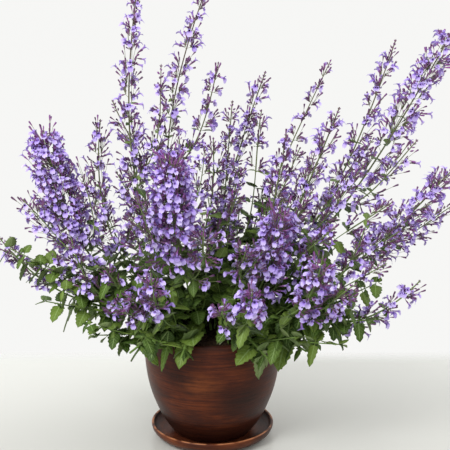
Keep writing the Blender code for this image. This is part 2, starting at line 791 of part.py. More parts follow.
def grow_spike(body, ring, turn, line, whorls, radii, reach, branches, crowd):
    """A slim three-sided stalk with whorls of florets below and buds above"""
    for number, (place, size) in enumerate(whorls, start=1):
        radius = spike_radius(place, whorls, line, radii)
        low = body.add(cross_ring(line, place - WHORL_HEIGHT / 2, radius, 3, turn))
        body.bridge(ring, low)
        turn += math.pi / 3
        high = body.add(cross_ring(line, place + WHORL_HEIGHT / 2, radius, 3, turn))
        _, ahead, _, _ = line.at(place)
        rising = [(low[k], low[(k + 1) % 3], high[k]) for k in range(3)]
        hanging = [(high[k], low[(k + 1) % 3], high[(k + 1) % 3]) for k in range(3)]
        branch = branches.get(number)
        if branch is not None:
            face = rising.pop(branch["face"])
            own = branch["line"], branch["whorls"]
            grow_spike(body, face, branch["turn"], *own, SIDE_RADII, reach * SIDE_SHARE, {}, crowd)
        if size and reach > FULL_REACH:
            rising += hanging
        else:
            body.faces.extend(hanging)
        shapes = []
        for triangle in rising:
            if size:
                shapes.append(grow_floret(body, triangle, ahead, reach * size, crowd))
            else:
                shapes.append(grow_bud(body, triangle, ahead, crowd))
        for shape in filter(None, shapes):
            crowd.put(*shape)
        ring = high
    body.close(ring, body.add([line.at(line.length)[0]])[0])


# The whole plant
def plan_side_spike(line, number, whorls, tip, gap):
    """Which face of its whorl a side spike grows from, and its own line and whorls"""
    place = whorls[number - 1][0]
    radius = spike_radius(place, whorls, line, SPIKE_RADII)
    turn = math.pi / 3 * (number - 1)
    low = cross_ring(line, place - WHORL_HEIGHT / 2, radius, 3, turn)
    high = cross_ring(line, place + WHORL_HEIGHT / 2, radius, 3, turn + math.pi / 3)
    point, ahead, _, _ = line.at(place)
    faces = [(low[k], low[(k + 1) % 3], high[k]) for k in range(3)]
    away = np.array(tip) - point
    face = max(range(3), key=lambda k: (sum(faces[k]) / 3 - point).dot(away))
    start = sum(faces[face]) / 3
    own = side_line(start, ahead, np.array(tip))
    _, _, side, other = own.at(0.0)
    corner = faces[face][0] - start
    return {
        "face": face,
        "line": own,
        "turn": math.atan2(corner.dot(other), corner.dot(side)),
        "whorls": whorl_places(0.0, own.length, SIDE_FIRST_WHORL, gap),
    }


def plan_flowering(number, root):
    """A flowering stem's line, leaf pairs, whorls and side spikes"""
    tip, lean, spike_length, gap, reach = FLOWERING[number]
    line = stem_line(root, tip, lean)
    last = line.length - spike_length
    whorls = whorl_places(last, line.length, FIRST_WHORL, gap)
    branches = {
        whorl: plan_side_spike(line, whorl, whorls, side_tip, gap)
        for stem, whorl, side_tip in SIDE_SPIKES
        if stem == number + 1
    }
    return {
        "line": line,
        "last": last,
        "pairs": leaf_pairs(number, last),
        "whorls": whorls,
        "reach": reach,
        "branches": branches,
    }


def plan_shoot(number, root):
    """A leafy shoot's line and leaf pairs"""
    line = shoot_line(root, SHOOTS[number])
    pairs = [(HOLE_DEPTH + place, length) for place, length in SHOOT_LEAVES]
    last = line.length
    return {
        "line": line,
        "last": last,
        "pairs": [pair for pair in pairs if pair[0] < last - LEAF_JOINT],
    }


def put_stem(plan, crowd):
    last = plan["last"]
    places = stem_places(last, plan["pairs"])
    crowd.put_tube(plan["line"], places, lambda place: stem_radius(place, last), 4)


def put_spike(line, start, whorls, radii, crowd):
    places = [start, *(place for place, _ in whorls), line.length]
    crowd.put_tube(line, places, lambda place: spike_radius(place, whorls, line, radii), 3)


def make_plant(roots, neighbours):
    """All the stems, spikes and shoots, each clear of the others"""
    draw = random.Random(SEED)
    flowering = [plan_flowering(k, roots[k]) for k in range(len(FLOWERING))]
    shoots = [plan_shoot(k, roots[len(FLOWERING) + k]) for k in range(len(SHOOTS))]
    crowd = Crowd()
    for thing in neighbours:
        points = [vertex.co[:] for vertex in thing.data.vertices]
        crowd.put(points, [tuple(face.vertices) for face in thing.data.polygons])
    for plan in flowering + shoots:
        put_stem(plan, crowd)
    for plan in flowering:
        put_spike(plan["line"], plan["last"], plan["whorls"], SPIKE_RADII, crowd)
        for branch in plan["branches"].values():
            start = branch["whorls"][0][0] / 3
            put_spike(branch["line"], start, branch["whorls"], SIDE_RADII, crowd)
    for number, plan in enumerate(flowering, start=1):
        body = Growth()
        ring = body.add(cross_ring(plan["line"], plan["last"] + SEAT_GAP, SPIKE_RADII[0], 3, 0.0))
        body.faces.append((ring[2], ring[1], ring[0]))
        own = plan["line"], plan["whorls"]
        grow_spike(body, ring, 0.0, *own, SPIKE_RADII, plan["reach"], plan["branches"], crowd)
        name = f"spike_{number:02d}"
        finish_object(name, body.mesh(name), VIOLET, PETAL_ROUGHNESS)
    for number, plan in enumerate(shoots, start=1):
        body = grow_stem(plan["line"], plan["last"], plan["pairs"], number % 2, crowd, draw)
        name = f"shoot_{number}"
        finish_object(name, body.mesh(name), LEAF_GREEN, LEAF_ROUGHNESS)
    for number, plan in enumerate(flowering, start=1):
        body = grow_stem(plan["line"], plan["last"], plan["pairs"], number % 2, crowd, draw)
        name = f"stem_{number:02d}"
        finish_object(name, body.mesh(name), STEM_GREEN, LEAF_ROUGHNESS)


def main():
    for thing in list(bpy.data.objects):
        bpy.data.objects.remove(thing)
    roots = settle_roots([row[0] for row in FLOWERING] + list(SHOOTS))
    pot = make_pot()
    make_saucer()
    soil = make_soil(roots)
    make_plant(roots, (pot, soil))


main()
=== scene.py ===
# Potted catmint, dressed: a turned clay pot on its saucer, soil, square leafy stems, and
# spikes of two-lipped florets in dark calyces. Metres, +Z up, -Y to the front.
import math
import random
from collections import namedtuple

import bmesh
import bpy
import numpy as np
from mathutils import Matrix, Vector, noise


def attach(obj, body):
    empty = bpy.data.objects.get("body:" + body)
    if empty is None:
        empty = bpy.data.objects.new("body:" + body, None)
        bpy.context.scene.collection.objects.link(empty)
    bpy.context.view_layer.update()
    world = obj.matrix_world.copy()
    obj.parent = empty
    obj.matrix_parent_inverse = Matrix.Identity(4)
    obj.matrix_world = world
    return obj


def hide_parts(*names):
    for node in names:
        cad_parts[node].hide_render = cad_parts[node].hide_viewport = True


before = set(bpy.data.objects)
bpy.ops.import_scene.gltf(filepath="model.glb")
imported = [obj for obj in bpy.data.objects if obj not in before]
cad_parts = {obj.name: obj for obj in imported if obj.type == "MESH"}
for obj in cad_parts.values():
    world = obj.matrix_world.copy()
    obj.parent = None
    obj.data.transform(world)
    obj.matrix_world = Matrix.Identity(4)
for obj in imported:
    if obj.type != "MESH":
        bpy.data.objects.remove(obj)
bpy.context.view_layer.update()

UP = np.array((0.0, 0.0, 1.0))
SEED = 11

# Driving dimensions of the pot
POT_HEIGHT = 0.172
POT_BELLY_RADIUS = 0.101
POT_BELLY_HEIGHT = 0.137
POT_BASE_RADIUS = 0.054
POT_BOWL_POWER = 1.6
POT_RIM_RADIUS = 0.0985
POT_WALL = 0.007
POT_FLOOR = 0.008
DRAIN_RADIUS = 0.007

# Driving dimensions of the saucer
SAUCER_HEIGHT = 0.020
SAUCER_RADIUS = 0.092
SAUCER_BASE_RADIUS = 0.068
SAUCER_FLOOR = 0.0057
SAUCER_LIP = 0.004
SAUCER_WELL_RADIUS = 0.064

# Round pieces, and the gap that pieces which touch keep between them
TURN_SIDES = 128
SEAT_GAP = 0.0003

# Rings of the round pieces: how many on the pot's outside, lip and inside, on the saucer's,
# and on the soil's wall and top; where they cross the pot's neck; and the radii of those on
# flat stretches, of which the last two are set in from the foot's edge and next to the pole
POT_RINGS = (34, 11, 12)
SAUCER_RINGS = (14, 9, 10)
SOIL_RINGS = (8, 28)
NECK_SHARES = (0.25, 0.5, 0.75)
FLOOR_RING = 0.03
SAUCER_BASE_RINGS = (0.02, 0.05)
SOIL_BASE_RING = 0.02
FOOT_EDGE = 0.002
SOIL_POLE = 0.004

# Throwing rings on the pot's wall: their height, their waves and the first ring that has them
THROWING = 0.00018
THROWING_WAVES = 1150
FIRST_THROWN = 2

# Driving dimensions of the soil: how high it stands, its low dome, how far in from the wall
# its top starts, and its lumps, with their waves in a metre and where those begin
SOIL_HEIGHT = 0.157
SOIL_DOME = 0.004
SOIL_EDGE = 0.0025
SOIL_LUMPS = 0.0008
SOIL_WAVES = (190, 170)
SOIL_PHASES = (1.0, 2.0)

# The soil's fine grain: waves in a metre, height, how its octaves fade and step up and how
# many they are, how far from the wall it is full, and how low a point still counts as the top
SOIL_GRAIN = 140
SOIL_ROUGH = 0.0011
SOIL_FRACTAL = (0.7, 2.0, 4)
SOIL_CALM = 0.01
TOP_SEARCH = 0.001

# Crumbs on the soil: how many, how far from the rim, sizes, proportions, how uneven they are,
# and how high their middles lie as a share of their size
CRUMBS = 260
CRUMB_EDGE = 0.006
CRUMB_SIZES = (0.0008, 0.0026)
CRUMB_SHAPE = (1, 0.75, 0.6)
CRUMB_UNEVEN = (0.75, 1.25)
CRUMB_RAISED = 0.3

# Where the stems stand: each is upright from its hole to its collar. The bush spreads a
# little further to the right than to the left.
BUSH_X = 0.02
ROOT_REACH = 0.056
ROOT_SPACING = 0.013
SETTLING_ROUNDS = 300
FURTHEST_LEAN = math.radians(75)
HOLE_DEPTH = 0.018
COLLAR = 0.004

# How a flowering stem bends: its least rise out of the pot, how much of its lean to the
# front or back is left at its tip, and how far each end keeps its direction
LEAST_RISE = math.radians(30)
TIP_DEPTH_SHARE = 0.6
STEM_PULLS = (0.36, 0.54)

# How a leafy shoot bends: its rise out of the soil, the rise of its hanging tip, and how
# far each end keeps its direction
SHOOT_RISES = (math.radians(62), math.radians(-20))
SHOOT_PULLS = (0.42, 0.42)

# Flower spikes in the plain model: the height of a whorl, where the first whorl is on a spike
# and on a side spike, and how much further apart whorls are at the foot than in the middle
WHORL_HEIGHT = 0.003
FIRST_WHORL = 0.009
SIDE_FIRST_WHORL = 0.017
GAP_LOW = 1.80
GAP_DROP = 1.15

# How a side spike bends: how much it follows its spike at its foot and at its tip, and how
# far each end keeps its direction
SIDE_FOLLOWS = (0.5, 0.8)
SIDE_PULL = 0.35

# Each flowering stem: its tip, how many degrees the tip leans to the right, the length of
# its flower spike, the distance between its whorls and how far its florets reach out
FLOWERING = (
    ((-0.080, -0.165, 0.300), -2, 0.135, 0.022, 0.026),
    ((0.055, -0.190, 0.285), 2, 0.125, 0.022, 0.024),
    ((0.150, -0.150, 0.320), 6, 0.135, 0.022, 0.028),
    ((0.290, -0.100, 0.270), 38, 0.140, 0.025, 0.020),
    ((-0.195, -0.085, 0.330), -8, 0.150, 0.025, 0.020),
    ((-0.310, -0.030, 0.320), -34, 0.160, 0.025, 0.021),
    ((-0.055, -0.120, 0.450), -2, 0.210, 0.023, 0.034),
    ((0.095, -0.100, 0.375), 6, 0.170, 0.023, 0.030),
    ((0.215, -0.080, 0.345), 14, 0.160, 0.024, 0.022),
    ((0.345, -0.025, 0.415), 40, 0.210, 0.024, 0.028),
    ((-0.235, -0.035, 0.470), -8, 0.240, 0.024, 0.033),
    ((-0.165, 0.060, 0.470), 6, 0.210, 0.026, 0.020),
    ((0.180, -0.020, 0.500), 20, 0.270, 0.025, 0.025),
    ((0.105, -0.035, 0.465), 8, 0.230, 0.026, 0.022),
    ((-0.105, 0.020, 0.660), 8, 0.370, 0.027, 0.021),
    ((-0.010, 0.060, 0.655), 20, 0.370, 0.027, 0.022),
    ((0.080, 0.110, 0.535), 20, 0.300, 0.027, 0.022),
    ((0.180, 0.130, 0.550), 26, 0.260, 0.030, 0.017),
    ((0.270, 0.080, 0.585), 18, 0.310, 0.027, 0.022),
    ((0.350, 0.050, 0.605), 28, 0.310, 0.026, 0.027),
    ((-0.055, 0.170, 0.440), -6, 0.220, 0.026, 0.023),
    ((0.165, 0.205, 0.400), 14, 0.200, 0.026, 0.023),
    ((-0.180, 0.155, 0.350), -16, 0.180, 0.026, 0.023),
    ((0.035, 0.230, 0.325), 2, 0.170, 0.026, 0.023),
)

# Each side spike: the number of the stem it grows on, the whorl it leaves from and its tip
SIDE_SPIKES = (
    (1, 1, (-0.115, -0.150, 0.265)),
    (2, 1, (0.015, -0.180, 0.255)),
    (3, 1, (0.195, -0.165, 0.285)),
    (5, 1, (-0.150, -0.100, 0.290)),
    (7, 1, (-0.010, -0.140, 0.355)),
    (7, 2, (-0.100, -0.130, 0.395)),
    (8, 1, (0.050, -0.125, 0.330)),
    (9, 1, (0.240, -0.120, 0.300)),
    (10, 1, (0.360, 0.030, 0.350)),
    (11, 1, (-0.265, -0.055, 0.375)),
    (11, 2, (-0.180, -0.060, 0.410)),
    (12, 1, (-0.115, 0.045, 0.430)),
    (13, 1, (0.140, -0.070, 0.390)),
    (13, 2, (0.215, -0.060, 0.430)),
    (15, 3, (-0.070, -0.020, 0.560)),
    (16, 3, (0.010, 0.010, 0.560)),
    (16, 1, (-0.010, -0.020, 0.445)),
    (17, 1, (0.030, 0.080, 0.495)),
    (19, 1, (0.235, 0.020, 0.450)),
    (20, 1, (0.295, 0.000, 0.450)),
    (22, 1, (0.205, 0.220, 0.350)),
    (24, 1, (0.000, 0.240, 0.295)),
)

# Each leafy shoot's tip, where it hangs over the pot's rim
SHOOTS = (
    (-0.115, -0.105, 0.165),
    (-0.042, -0.140, 0.170),
    (0.080, -0.130, 0.165),
    (0.135, -0.085, 0.160),
    (0.160, 0.070, 0.185),
    (0.072, 0.145, 0.180),
    (-0.005, 0.155, 0.180),
    (-0.085, 0.135, 0.180),
    (-0.165, 0.020, 0.190),
)

# Which part of the plant a point belongs to
STALK, CALYX, PETAL, LEAF, UNDERSIDE = range(5)

# Stalks: radii of a stem at its foot and at its spike, of a spike and of a side spike; how
# much thicker a stem is at its foot; the length of a straight piece; how much thicker a
# stalk is at a leaf pair, and over what length
STEM_RADII = (0.0021, 0.0015)
SPIKE_RADII = (0.0014, 0.0009)
SIDE_RADII = (0.0011, 0.0008)
FOOT_THICKER = 1.15
STALK_STEP = 0.009
NODE_SWELLING = 0.35
NODE_HALF = 0.0005

# Leaves a metre long: rows of (place, half width), how many columns of faces, how deep the
# fold on the midrib is and how high the quilting; two shapes of large leaf with rounded
# teeth, a middle one, and a small plain one
LEAF_SHAPES = (
    (
        (
            (0.00, 0.024), (0.11, 0.022), (0.13, 0.240), (0.18, 0.375), (0.25, 0.345),
            (0.32, 0.440), (0.40, 0.375), (0.48, 0.425), (0.56, 0.340), (0.64, 0.370),
            (0.72, 0.265), (0.80, 0.275), (0.90, 0.150), (1.00, 0.012),
        ),
        4,
        0.035,
        0.026,
    ),
    (
        (
            (0.00, 0.022), (0.14, 0.020), (0.16, 0.270), (0.21, 0.400), (0.28, 0.355),
            (0.36, 0.420), (0.44, 0.345), (0.52, 0.378), (0.60, 0.285), (0.68, 0.310),
            (0.76, 0.205), (0.84, 0.210), (0.93, 0.105), (1.00, 0.012),
        ),
        4,
        0.055,
        0.018,
    ),
)
MIDDLE_LEAF_SHAPE = (
    (
        (0.00, 0.026), (0.12, 0.024), (0.15, 0.270), (0.24, 0.380), (0.33, 0.325), (0.43, 0.390),
        (0.53, 0.300), (0.63, 0.335), (0.74, 0.220), (0.85, 0.225), (1.00, 0.012),
    ),
    2,
    0.050,
    0.0,
)
SMALL_LEAF_SHAPE = (
    ((0.00, 0.030), (0.12, 0.100), (0.38, 0.310), (0.70, 0.240), (1.00, 0.015)),
    2,
    0.060,
    0.0,
)

# Where a leaf's blade is folded and quilted, which share of its half width the quilting
# raises, its thickness, and the length from which a leaf is a large one
BLADE_FROM = 0.16
QUILTED = (0.3, 0.7)
LEAF_THICKNESS = 0.012
LARGE_LEAF = 0.027

# How leaves stand: degrees raised, share of the length that they droop, and both for leaves
# so low that they hang; the furthest turn sideways, and how much they roll
LEAF_RAISED = (-8, 38)
LEAF_DROOP = (0.15, 0.50)
HANGING_BELOW = 0.225
HANGING_RAISED = (-12, 30)
HANGING_DROOP = (0.15, 0.55)
LEAF_ASIDE = 38
LEAF_ROLL = 0.25

# The sizes and lifts that a leaf tries, and its room: the gap to clay and soil, the gap
# between leaves at the front where the rim shows, the lowest place, and how many points at
# its foot may touch what they like
LEAF_SIZES = (1.0, 0.75)
LEAF_LIFTS = (0, 25, -25, 50)
LEAF_GAP = 0.0012
FRONT_GAP = (-0.022, 0.026)
FRONT_GAP_Y = -0.07
FRONT_GAP_TOP = 0.182
LOWEST_LEAF = 0.118
FOOT_POINTS = 8

# Leaf pairs: how much their lengths vary and where on a stem's radius they start; the leaves
# of the next shoot in each corner: how many, how far aside, their lengths and rise
PAIR_SIZES = (0.85, 1.12)
PAIR_SEAT = 0.8
CORNER_LEAVES = 2
CORNER_ASIDE = 0.9
CORNER_SIZES = (0.30, 0.55)
CORNER_RISE = 0.006

# Nodes of a flowering stem and of a leafy shoot: the first above the soil, the last below the
# spike, their steps and how much these vary, and the leaf lengths at shares of the stem
FIRST_NODE = (0.034, 0.046)
LAST_NODE = 0.006
NODE_STEP = 0.024
SHOOT_STEP = 0.019
STEPS_VARY = (0.85, 1.15)
LENGTHS_AT = (0.15, 0.5, 1.0)
STEM_LEAVES = (0.041, 0.031, 0.020)
SHOOT_LEAVES = (0.040, 0.042, 0.030)

# Florets: their sides and their tube by (place, radius); lip, hood and flare of each shape
COROLLA_SIDES = 8
COROLLA_TUBE = ((0.0046, 0.0009), (0.0090, 0.0014))
COROLLA_SHAPES = ((1.05, 0.95, 2.3), (1.25, 0.8, 2.5), (0.9, 1.1, 2.1))

# A floret's lip: the share of the throat's radius below which it starts, its two steps out
# and down, how it narrows and about which place, and where it counts as spread. Its side
# and middle lobes: where they part, how low a side lobe starts, how much each is widened,
# how it moves forward and up, and the notch in the middle one. The hood and its flare.
LIP_BELOW = 0.45
LIP_STEPS = ((0.0014, -0.0012), (0.0008, -0.0026))
LIP_NARROWS = (0.86, 1, 0.8)
LIP_CENTRE = (0.0022, -0.0034)
LIP_SPREAD = 0.0020
LOBES_PART = 0.0016
SIDE_LOBES_BELOW = -0.0012
SIDE_LOBES = (1.25, (0, -0.0003, 0.0009))
MIDDLE_LOBE = (1.35, (0, -0.0001, -0.0012))
NOTCH = (0, 0.0004, 0.0010)
NOTCH_HALF = 0.0003
HOOD_ABOVE = 0.3
HOOD_STEP = (0.0016, 0.0017)
HOOD_FLARE = 1.6

# How a floret's colour runs: up to here along the tube, and from here on the lip, and by how much
TUBE_SHADE = 0.7
LIP_SHADE = (0.76, 0.24)

# Calyces: each shape by (place, radius), the length of its teeth and its sides; a bud's
# length and radius, how wide its foot is and where it is widest; a thin stalk, stretched to
# its length in each copy, its sides and its shade
CALYX_SHAPES = (
    (((-0.0022, 0.00036), (0.0020, 0.00100), (0.0046, 0.00118)), 0.0016, 4),
    (((-0.0016, 0.00040), (0.0022, 0.00092), (0.0044, 0.00124)), 0.0013, 4),
)
BUD_SHAPE = (0.0062, 0.0013)
BUD_FOOT = 0.35
BUD_WIDEST = 0.45
BUD_SHADE = 0.3
TWIG_RINGS = ((0.0, 0.00038), (1.0, 0.00030))
TWIG_SIDES = 3
TWIG_SHADE = 0.6

# Lengths that florets and calyces are placed by, and how much larger they are than life
FLORET_LENGTH = 0.0122
CALYX_LENGTH = 0.0062
FLORET_SIZE = 1.18

# Cymes: the stalk's length as a share of the reach, how steeply it rises, and its least
# length; how far up and down the florets sit, the degrees that they and closed calyces rise,
# how far they swing aside and how far they reach; their sizes and the least of these; how
# much they face up and roll; the least share of a floret that counts as level; and how
# deep a twig enters a calyx
CYME_STALK = (0.18, 0.32)
CYME_STALK_RISE = (0.4, 0.9)
LEAST_STALK = 0.0025
CYME_RISE = (-0.15, 0.55)
OPEN_LIFTS = (-24, 60)
CLOSED_LIFTS = (18, 80)
CYME_SWING = 62
OPEN_REACH = (0.58, 1.04)
CLOSED_REACH = (0.40, 0.95)
FLORET_SIZES = (0.86, 1.12)
LEAST_SIZE = 0.66
FLORETS_UP = 0.7
FLORET_ROLL = 0.3
LEAST_LEVEL = 0.5
TWIG_ENTERS = 0.002

# Tones of florets: how much calyces differ from their whorl; an open floret's mean where
# nothing is pink, how much a pink whorl darkens it, and how much florets differ
CALYX_DIFFERS = 0.2
PETAL_TONE = 0.70
PETAL_DARKENS = 0.35
PETALS_DIFFER = 0.3

# Whorls: open florets and closed calyces on each side: at least, and more with a spike's
# fullness; how much the open ones vary; how far the sides shift along the stalk and turn
OPEN_FLORETS = (0.3, 5.2)
CLOSED_CALYCES = (4.6, 3.0)
OPEN_VARIES = (0.6, 1.3)
WHORL_SHIFT = 0.3
WHORL_TURN = 0.35

# Spikes: how much closer real whorls stand than in the plain model, and how much closer yet
# on a spike that is fuller than so; how much whorls shrink to the top and vary; how pink
# they are with fullness, with height and at least
CLOSER = 0.84
CLOSER_WHEN_FULL = 0.36
FULL = 1.2
TOP_SHRINK = 0.50
WHORL_SIZES = (0.88, 1.1)
PINK_FULL = 0.28
PINK_HIGH = 0.10
PINK_LEAST = 0.02

# Leaves on spikes: lengths of those in the place of a whorl, the share of the spike where
# narrow leaves end, their lengths, how these shrink upwards, and how far below the whorl
LOW_LEAVES = (0.020, 0.029)
BRACT_SHARE = 0.6
BRACT_LENGTHS = (0.014, 0.025)
BRACT_SHRINK = 1.2
BRACT_BELOW = 0.002

# The loose end of a spike: its length, on spikes shorter than this in proportion; its steps,
# their buds, how these turn, stand out and rise, and their sizes, tones and stalks; and the
# last bud
TIP_LENGTH = 0.024
SHORT_SPIKE = 0.12
TIP_STEP = 0.0062
TIP_FIRST = 0.3
TIP_BUDS = 4
TIP_TURN = 0.6
TIP_OUT = (0.9, 0.4)
TIP_RISE = (0.6, 1.1)
TIP_SIZE = (0.78, 0.30)
TIP_VARIES = (0.85, 1.15)
TIP_STALK = 0.0045
TIP_TONES = (0.2, 0.8)
LAST_BUD = (0.003, 0.55, 0.5)

# How full of open florets each spike is, and a side spike at most
FULLNESS = (
    1.45, 1.90, 1.75, 1.15, 0.80, 1.15, 2.45, 2.20, 1.25, 1.70, 2.45, 0.90,
    1.00, 0.95, 1.00, 0.98, 0.98, 0.45, 1.05, 1.70, 0.60, 0.60, 0.60, 0.60,
)
SIDE_FULLNESS = 0.70

# By the stem's number: where the flowers of its spike start, as a share of it, on those that
# are leafy below; how much larger florets are on spikes in front; and how much wider than
# the plain spike some are. A side spike is narrower than its spike.
FLOWERS_FROM = {1: 0.40, 2: 0.44, 3: 0.20, 6: 0.25, 7: 0.16, 8: 0.14, 9: 0.10, 14: 0.16, 20: 0.14}
LARGER = {2: 1.12, 3: 1.08, 7: 1.06, 8: 1.06}
WIDER = {
    4: 1.15, 7: 1.12, 8: 1.10, 10: 1.10, 11: 1.22, 12: 1.30, 15: 1.15, 16: 1.15, 17: 1.10, 20: 1.22,
}
SIDE_SHARE = 0.85

# Below this height a spike has leaves and not flowers, more or less, unless it is a low one
LEAFY_BELOW = 0.250
LEAFY_BLUR = 0.025
LOW_SPIKES = (1, 2, 3, 4, 5, 6)

# Side shoots: what is left off their length when their leaf pairs are counted and when these
# are placed, their first pair, the steps and lengths of their pairs, their first whorl, their
# tone, and their florets' spacing and least reach
SIDE_ENDS = (0.012, 0.016)
SIDE_FIRST_NODE = 0.014
SIDE_NODE_STEP = 0.019
SIDE_LEAVES = (0.034, 0.023)
SHOOT_FIRST_WHORL = 0.004
SHOOT_TONE = 0.5
SHOOT_CLOSER = 0.9
SHOOT_LEAST_REACH = 0.019

# How wide the florets of placed and of wild side shoots are beside their spike's, and how
# full of them a wild one is
PLACED_SHARE = 0.8
WILD_SHARE = 0.75
WILD_FULLNESS = 0.40

# Wild side shoots, placed at random: where they leave their stem and how much that varies;
# stems that are bare of flowers beside and how many they have; the lowest place; their
# lengths and how much of it flowers; how much above LEAFY_BELOW they stay leafy, and how
# many are leafy anyway; and the space that holds their tips
WILD_SHOOTS = (0.42, 0.58, 0.76, 0.96)
WILD_SHIFT = 0.06
BARE_SIDED = (4, 5, 6, 7, 8, 10, 11, 12, 20)
BARE_SHOOTS = 2
WILD_LEAST_HEIGHT = 0.190
WILD_LENGTHS = (0.055, 0.110)
WILD_FLOWERS = (0.45, 0.75)
WILD_LEAFY_ABOVE = 0.03
WILD_LEAFY = 0.25
BUSH_LOW = (-0.290, -0.165, 0.225)
BUSH_HIGH = (0.340, 0.218, 0.640)

# Where a wild side shoot heads: across its stem, away from the bush's axis, along its stem
# and up; and the small rise of the way out
WILD_ACROSS = 0.75
WILD_AWAY = 0.35
WILD_ALONG = 0.8
WILD_UP = 0.55
AWAY_RISE = 0.02

# Side shoots listed one by one: the stem's number, where on it, the tip, and the length that
# flowers, or 0 on a leafy one
SIDE_SHOOTS = (
    (9, 0.55, (0.170, -0.100, 0.345), 0.075),
    (9, 0.75, (0.250, -0.090, 0.380), 0.080),
    (13, 0.50, (0.160, -0.060, 0.330), 0.080),
    (3, 0.80, (0.190, -0.140, 0.255), 0.060),
    (7, 0.60, (-0.110, -0.110, 0.350), 0.090),
    (11, 0.70, (-0.230, -0.040, 0.290), 0.070),
    (5, 0.55, (-0.140, -0.100, 0.235), 0.060),
    (10, 0.60, (0.265, -0.060, 0.330), 0.080),
    (8, 0.65, (0.070, -0.110, 0.315), 0.060),
    (15, 0.85, (-0.146, 0.050, 0.500), 0.110),
    (17, 0.95, (0.074, 0.090, 0.480), 0.095),
    (17, 0.60, (0.015, 0.050, 0.372), 0.080),
    (17, 0.78, (0.080, 0.080, 0.372), 0.075),
    (14, 0.75, (0.041, 0.030, 0.405), 0.085),
    (18, 0.70, (0.130, 0.050, 0.430), 0.090),
    (16, 0.80, (0.002, 0.020, 0.450), 0.090),
    (1, 0.60, (-0.120, -0.150, 0.240), 0.055),
    (14, 0.55, (0.040, -0.070, 0.400), 0.100),
    (12, 0.60, (-0.140, 0.020, 0.400), 0.100),
    (22, 0.60, (0.120, 0.180, 0.330), 0.080),
    (21, 0.60, (-0.010, 0.160, 0.350), 0.080),
    (23, 0.60, (-0.130, 0.160, 0.280), 0.070),
    (5, 0.34, (-0.170, -0.100, 0.205), 0),
    (5, 0.60, (-0.205, -0.070, 0.245), 0),
    (6, 0.34, (-0.165, -0.085, 0.185), 0),
    (6, 0.62, (-0.235, -0.070, 0.230), 0),
    (6, 0.72, (-0.262, -0.060, 0.285), 0),
    (6, 0.92, (-0.285, -0.060, 0.305), 0),
    (11, 0.34, (-0.160, -0.080, 0.280), 0),
    (12, 0.40, (-0.175, 0.060, 0.280), 0),
    (9, 0.42, (0.190, -0.090, 0.225), 0),
    (4, 0.40, (0.180, -0.125, 0.185), 0),
    (4, 0.62, (0.225, -0.110, 0.215), 0),
    (10, 0.42, (0.235, -0.050, 0.250), 0),
    (3, 0.40, (0.120, -0.150, 0.205), 0),
    (1, 0.42, (-0.090, -0.150, 0.205), 0),
    (22, 0.40, (0.150, 0.170, 0.220), 0),
    (24, 0.40, (0.030, 0.190, 0.205), 0),
    (23, 0.40, (-0.150, 0.140, 0.215), 0),
)

# Colours of clay and soil, as linear red, green and blue
CLAY_TONES = ((0.015, 0.0048, 0.0036), (0.050, 0.0108, 0.0046), (0.130, 0.0290, 0.0080))
SAUCER_TONES = ((0.024, 0.0075, 0.0055), (0.072, 0.0175, 0.0075), (0.175, 0.047, 0.0155))
# The dark colour of smoke marks, also used for painted shade at the pot's foot and inside its rim
SMOKE_AND_SHADE = (0.012, 0.0065, 0.0060)
# The light colour of fired patches, also used for the painted highlight at the pot's front
EMBER_AND_SHEEN = (0.200, 0.055, 0.015)
WORN_CLAY = (0.520, 0.210, 0.090)
SOIL_TONES = ((0.35, (0.012, 0.007, 0.004)), (0.5, (0.040, 0.022, 0.012)), (0.66, (0.085, 0.050, 0.028)))
FIBRE = (0.200, 0.130, 0.070)

# Colours of the plant, along each part or by its tone; a stalk turns purple up to a height
PURPLE_HEIGHT = 0.42
STALK_TONES = ((0.0, (0.160, 0.270, 0.055)), (0.5, (0.150, 0.200, 0.060)), (1.0, (0.120, 0.085, 0.065)))
CALYX_DARK = ((0.0, (0.150, 0.145, 0.075)), (0.30, (0.165, 0.065, 0.145)), (1.0, (0.108, 0.032, 0.115)))
CALYX_PINK = ((0.0, (0.220, 0.130, 0.140)), (0.35, (0.320, 0.100, 0.330)), (1.0, (0.260, 0.075, 0.330)))
PETAL_DEEP = (
    (0.0, (0.330, 0.170, 0.470)),
    (0.7, (0.260, 0.145, 0.560)),
    (0.84, (0.370, 0.250, 0.710)),
    (1.0, (0.490, 0.380, 0.820)),
)
PETAL_PALE = (
    (0.0, (0.460, 0.280, 0.610)),
    (0.7, (0.410, 0.290, 0.700)),
    (0.84, (0.560, 0.460, 0.840)),
    (1.0, (0.720, 0.650, 0.930)),
)
THROAT = (0.140, 0.040, 0.300)
LEAF_TONES = ((0.15, (0.034, 0.070, 0.008)), (0.5, (0.072, 0.132, 0.016)), (0.88, (0.130, 0.200, 0.030)))
LEAF_VEIN = (0.260, 0.380, 0.130)
UNDERSIDE_TONES = ((0.2, (0.095, 0.150, 0.045)), (0.8, (0.165, 0.225, 0.080)))
UNDERSIDE_VEIN = (0.300, 0.380, 0.190)

# Noise in the finishes: waves in a metre, detail, roughness, and how each axis is squeezed
CLAY_CLOUDS = (14, 4, 0.55, (1, 1, 1.8))
CLAY_BANDS = (1, 3, 0.65, (13, 13, 170))
CLAY_LINES = (1, 3, 0.75, (22, 22, 480))
CLAY_GRAIN = (900, 3)
CLAY_WEAR = (60, 3)
CLAY_PITS = (420, 2)
SOIL_CRUMBS = (260, 5, 0.65)
SOIL_CLODS = (55, 3)
SOIL_FIBRES = (130, 2, 0.5, (1, 5, 3))
PLANT_MOTTLE = (150, 3)
THROAT_DOTS = (1500, 1)

# Where marks in the finishes fade: from nothing to full
CLAY_STOPS = (0.37, 0.50, 0.64)
RAGGED = (0.62, 1.10)
WEAR_PATCHY = (0.35, 0.62)
PITTED = (0.66, 0.74)
FIBROUS = (0.66, 0.72)
PINK_TONES = (0.2, 0.9)
DOTTED = (0.58, 0.64)
DOTS_START = (0.50, 0.58)
DOTS_END = (0.82, 0.72)

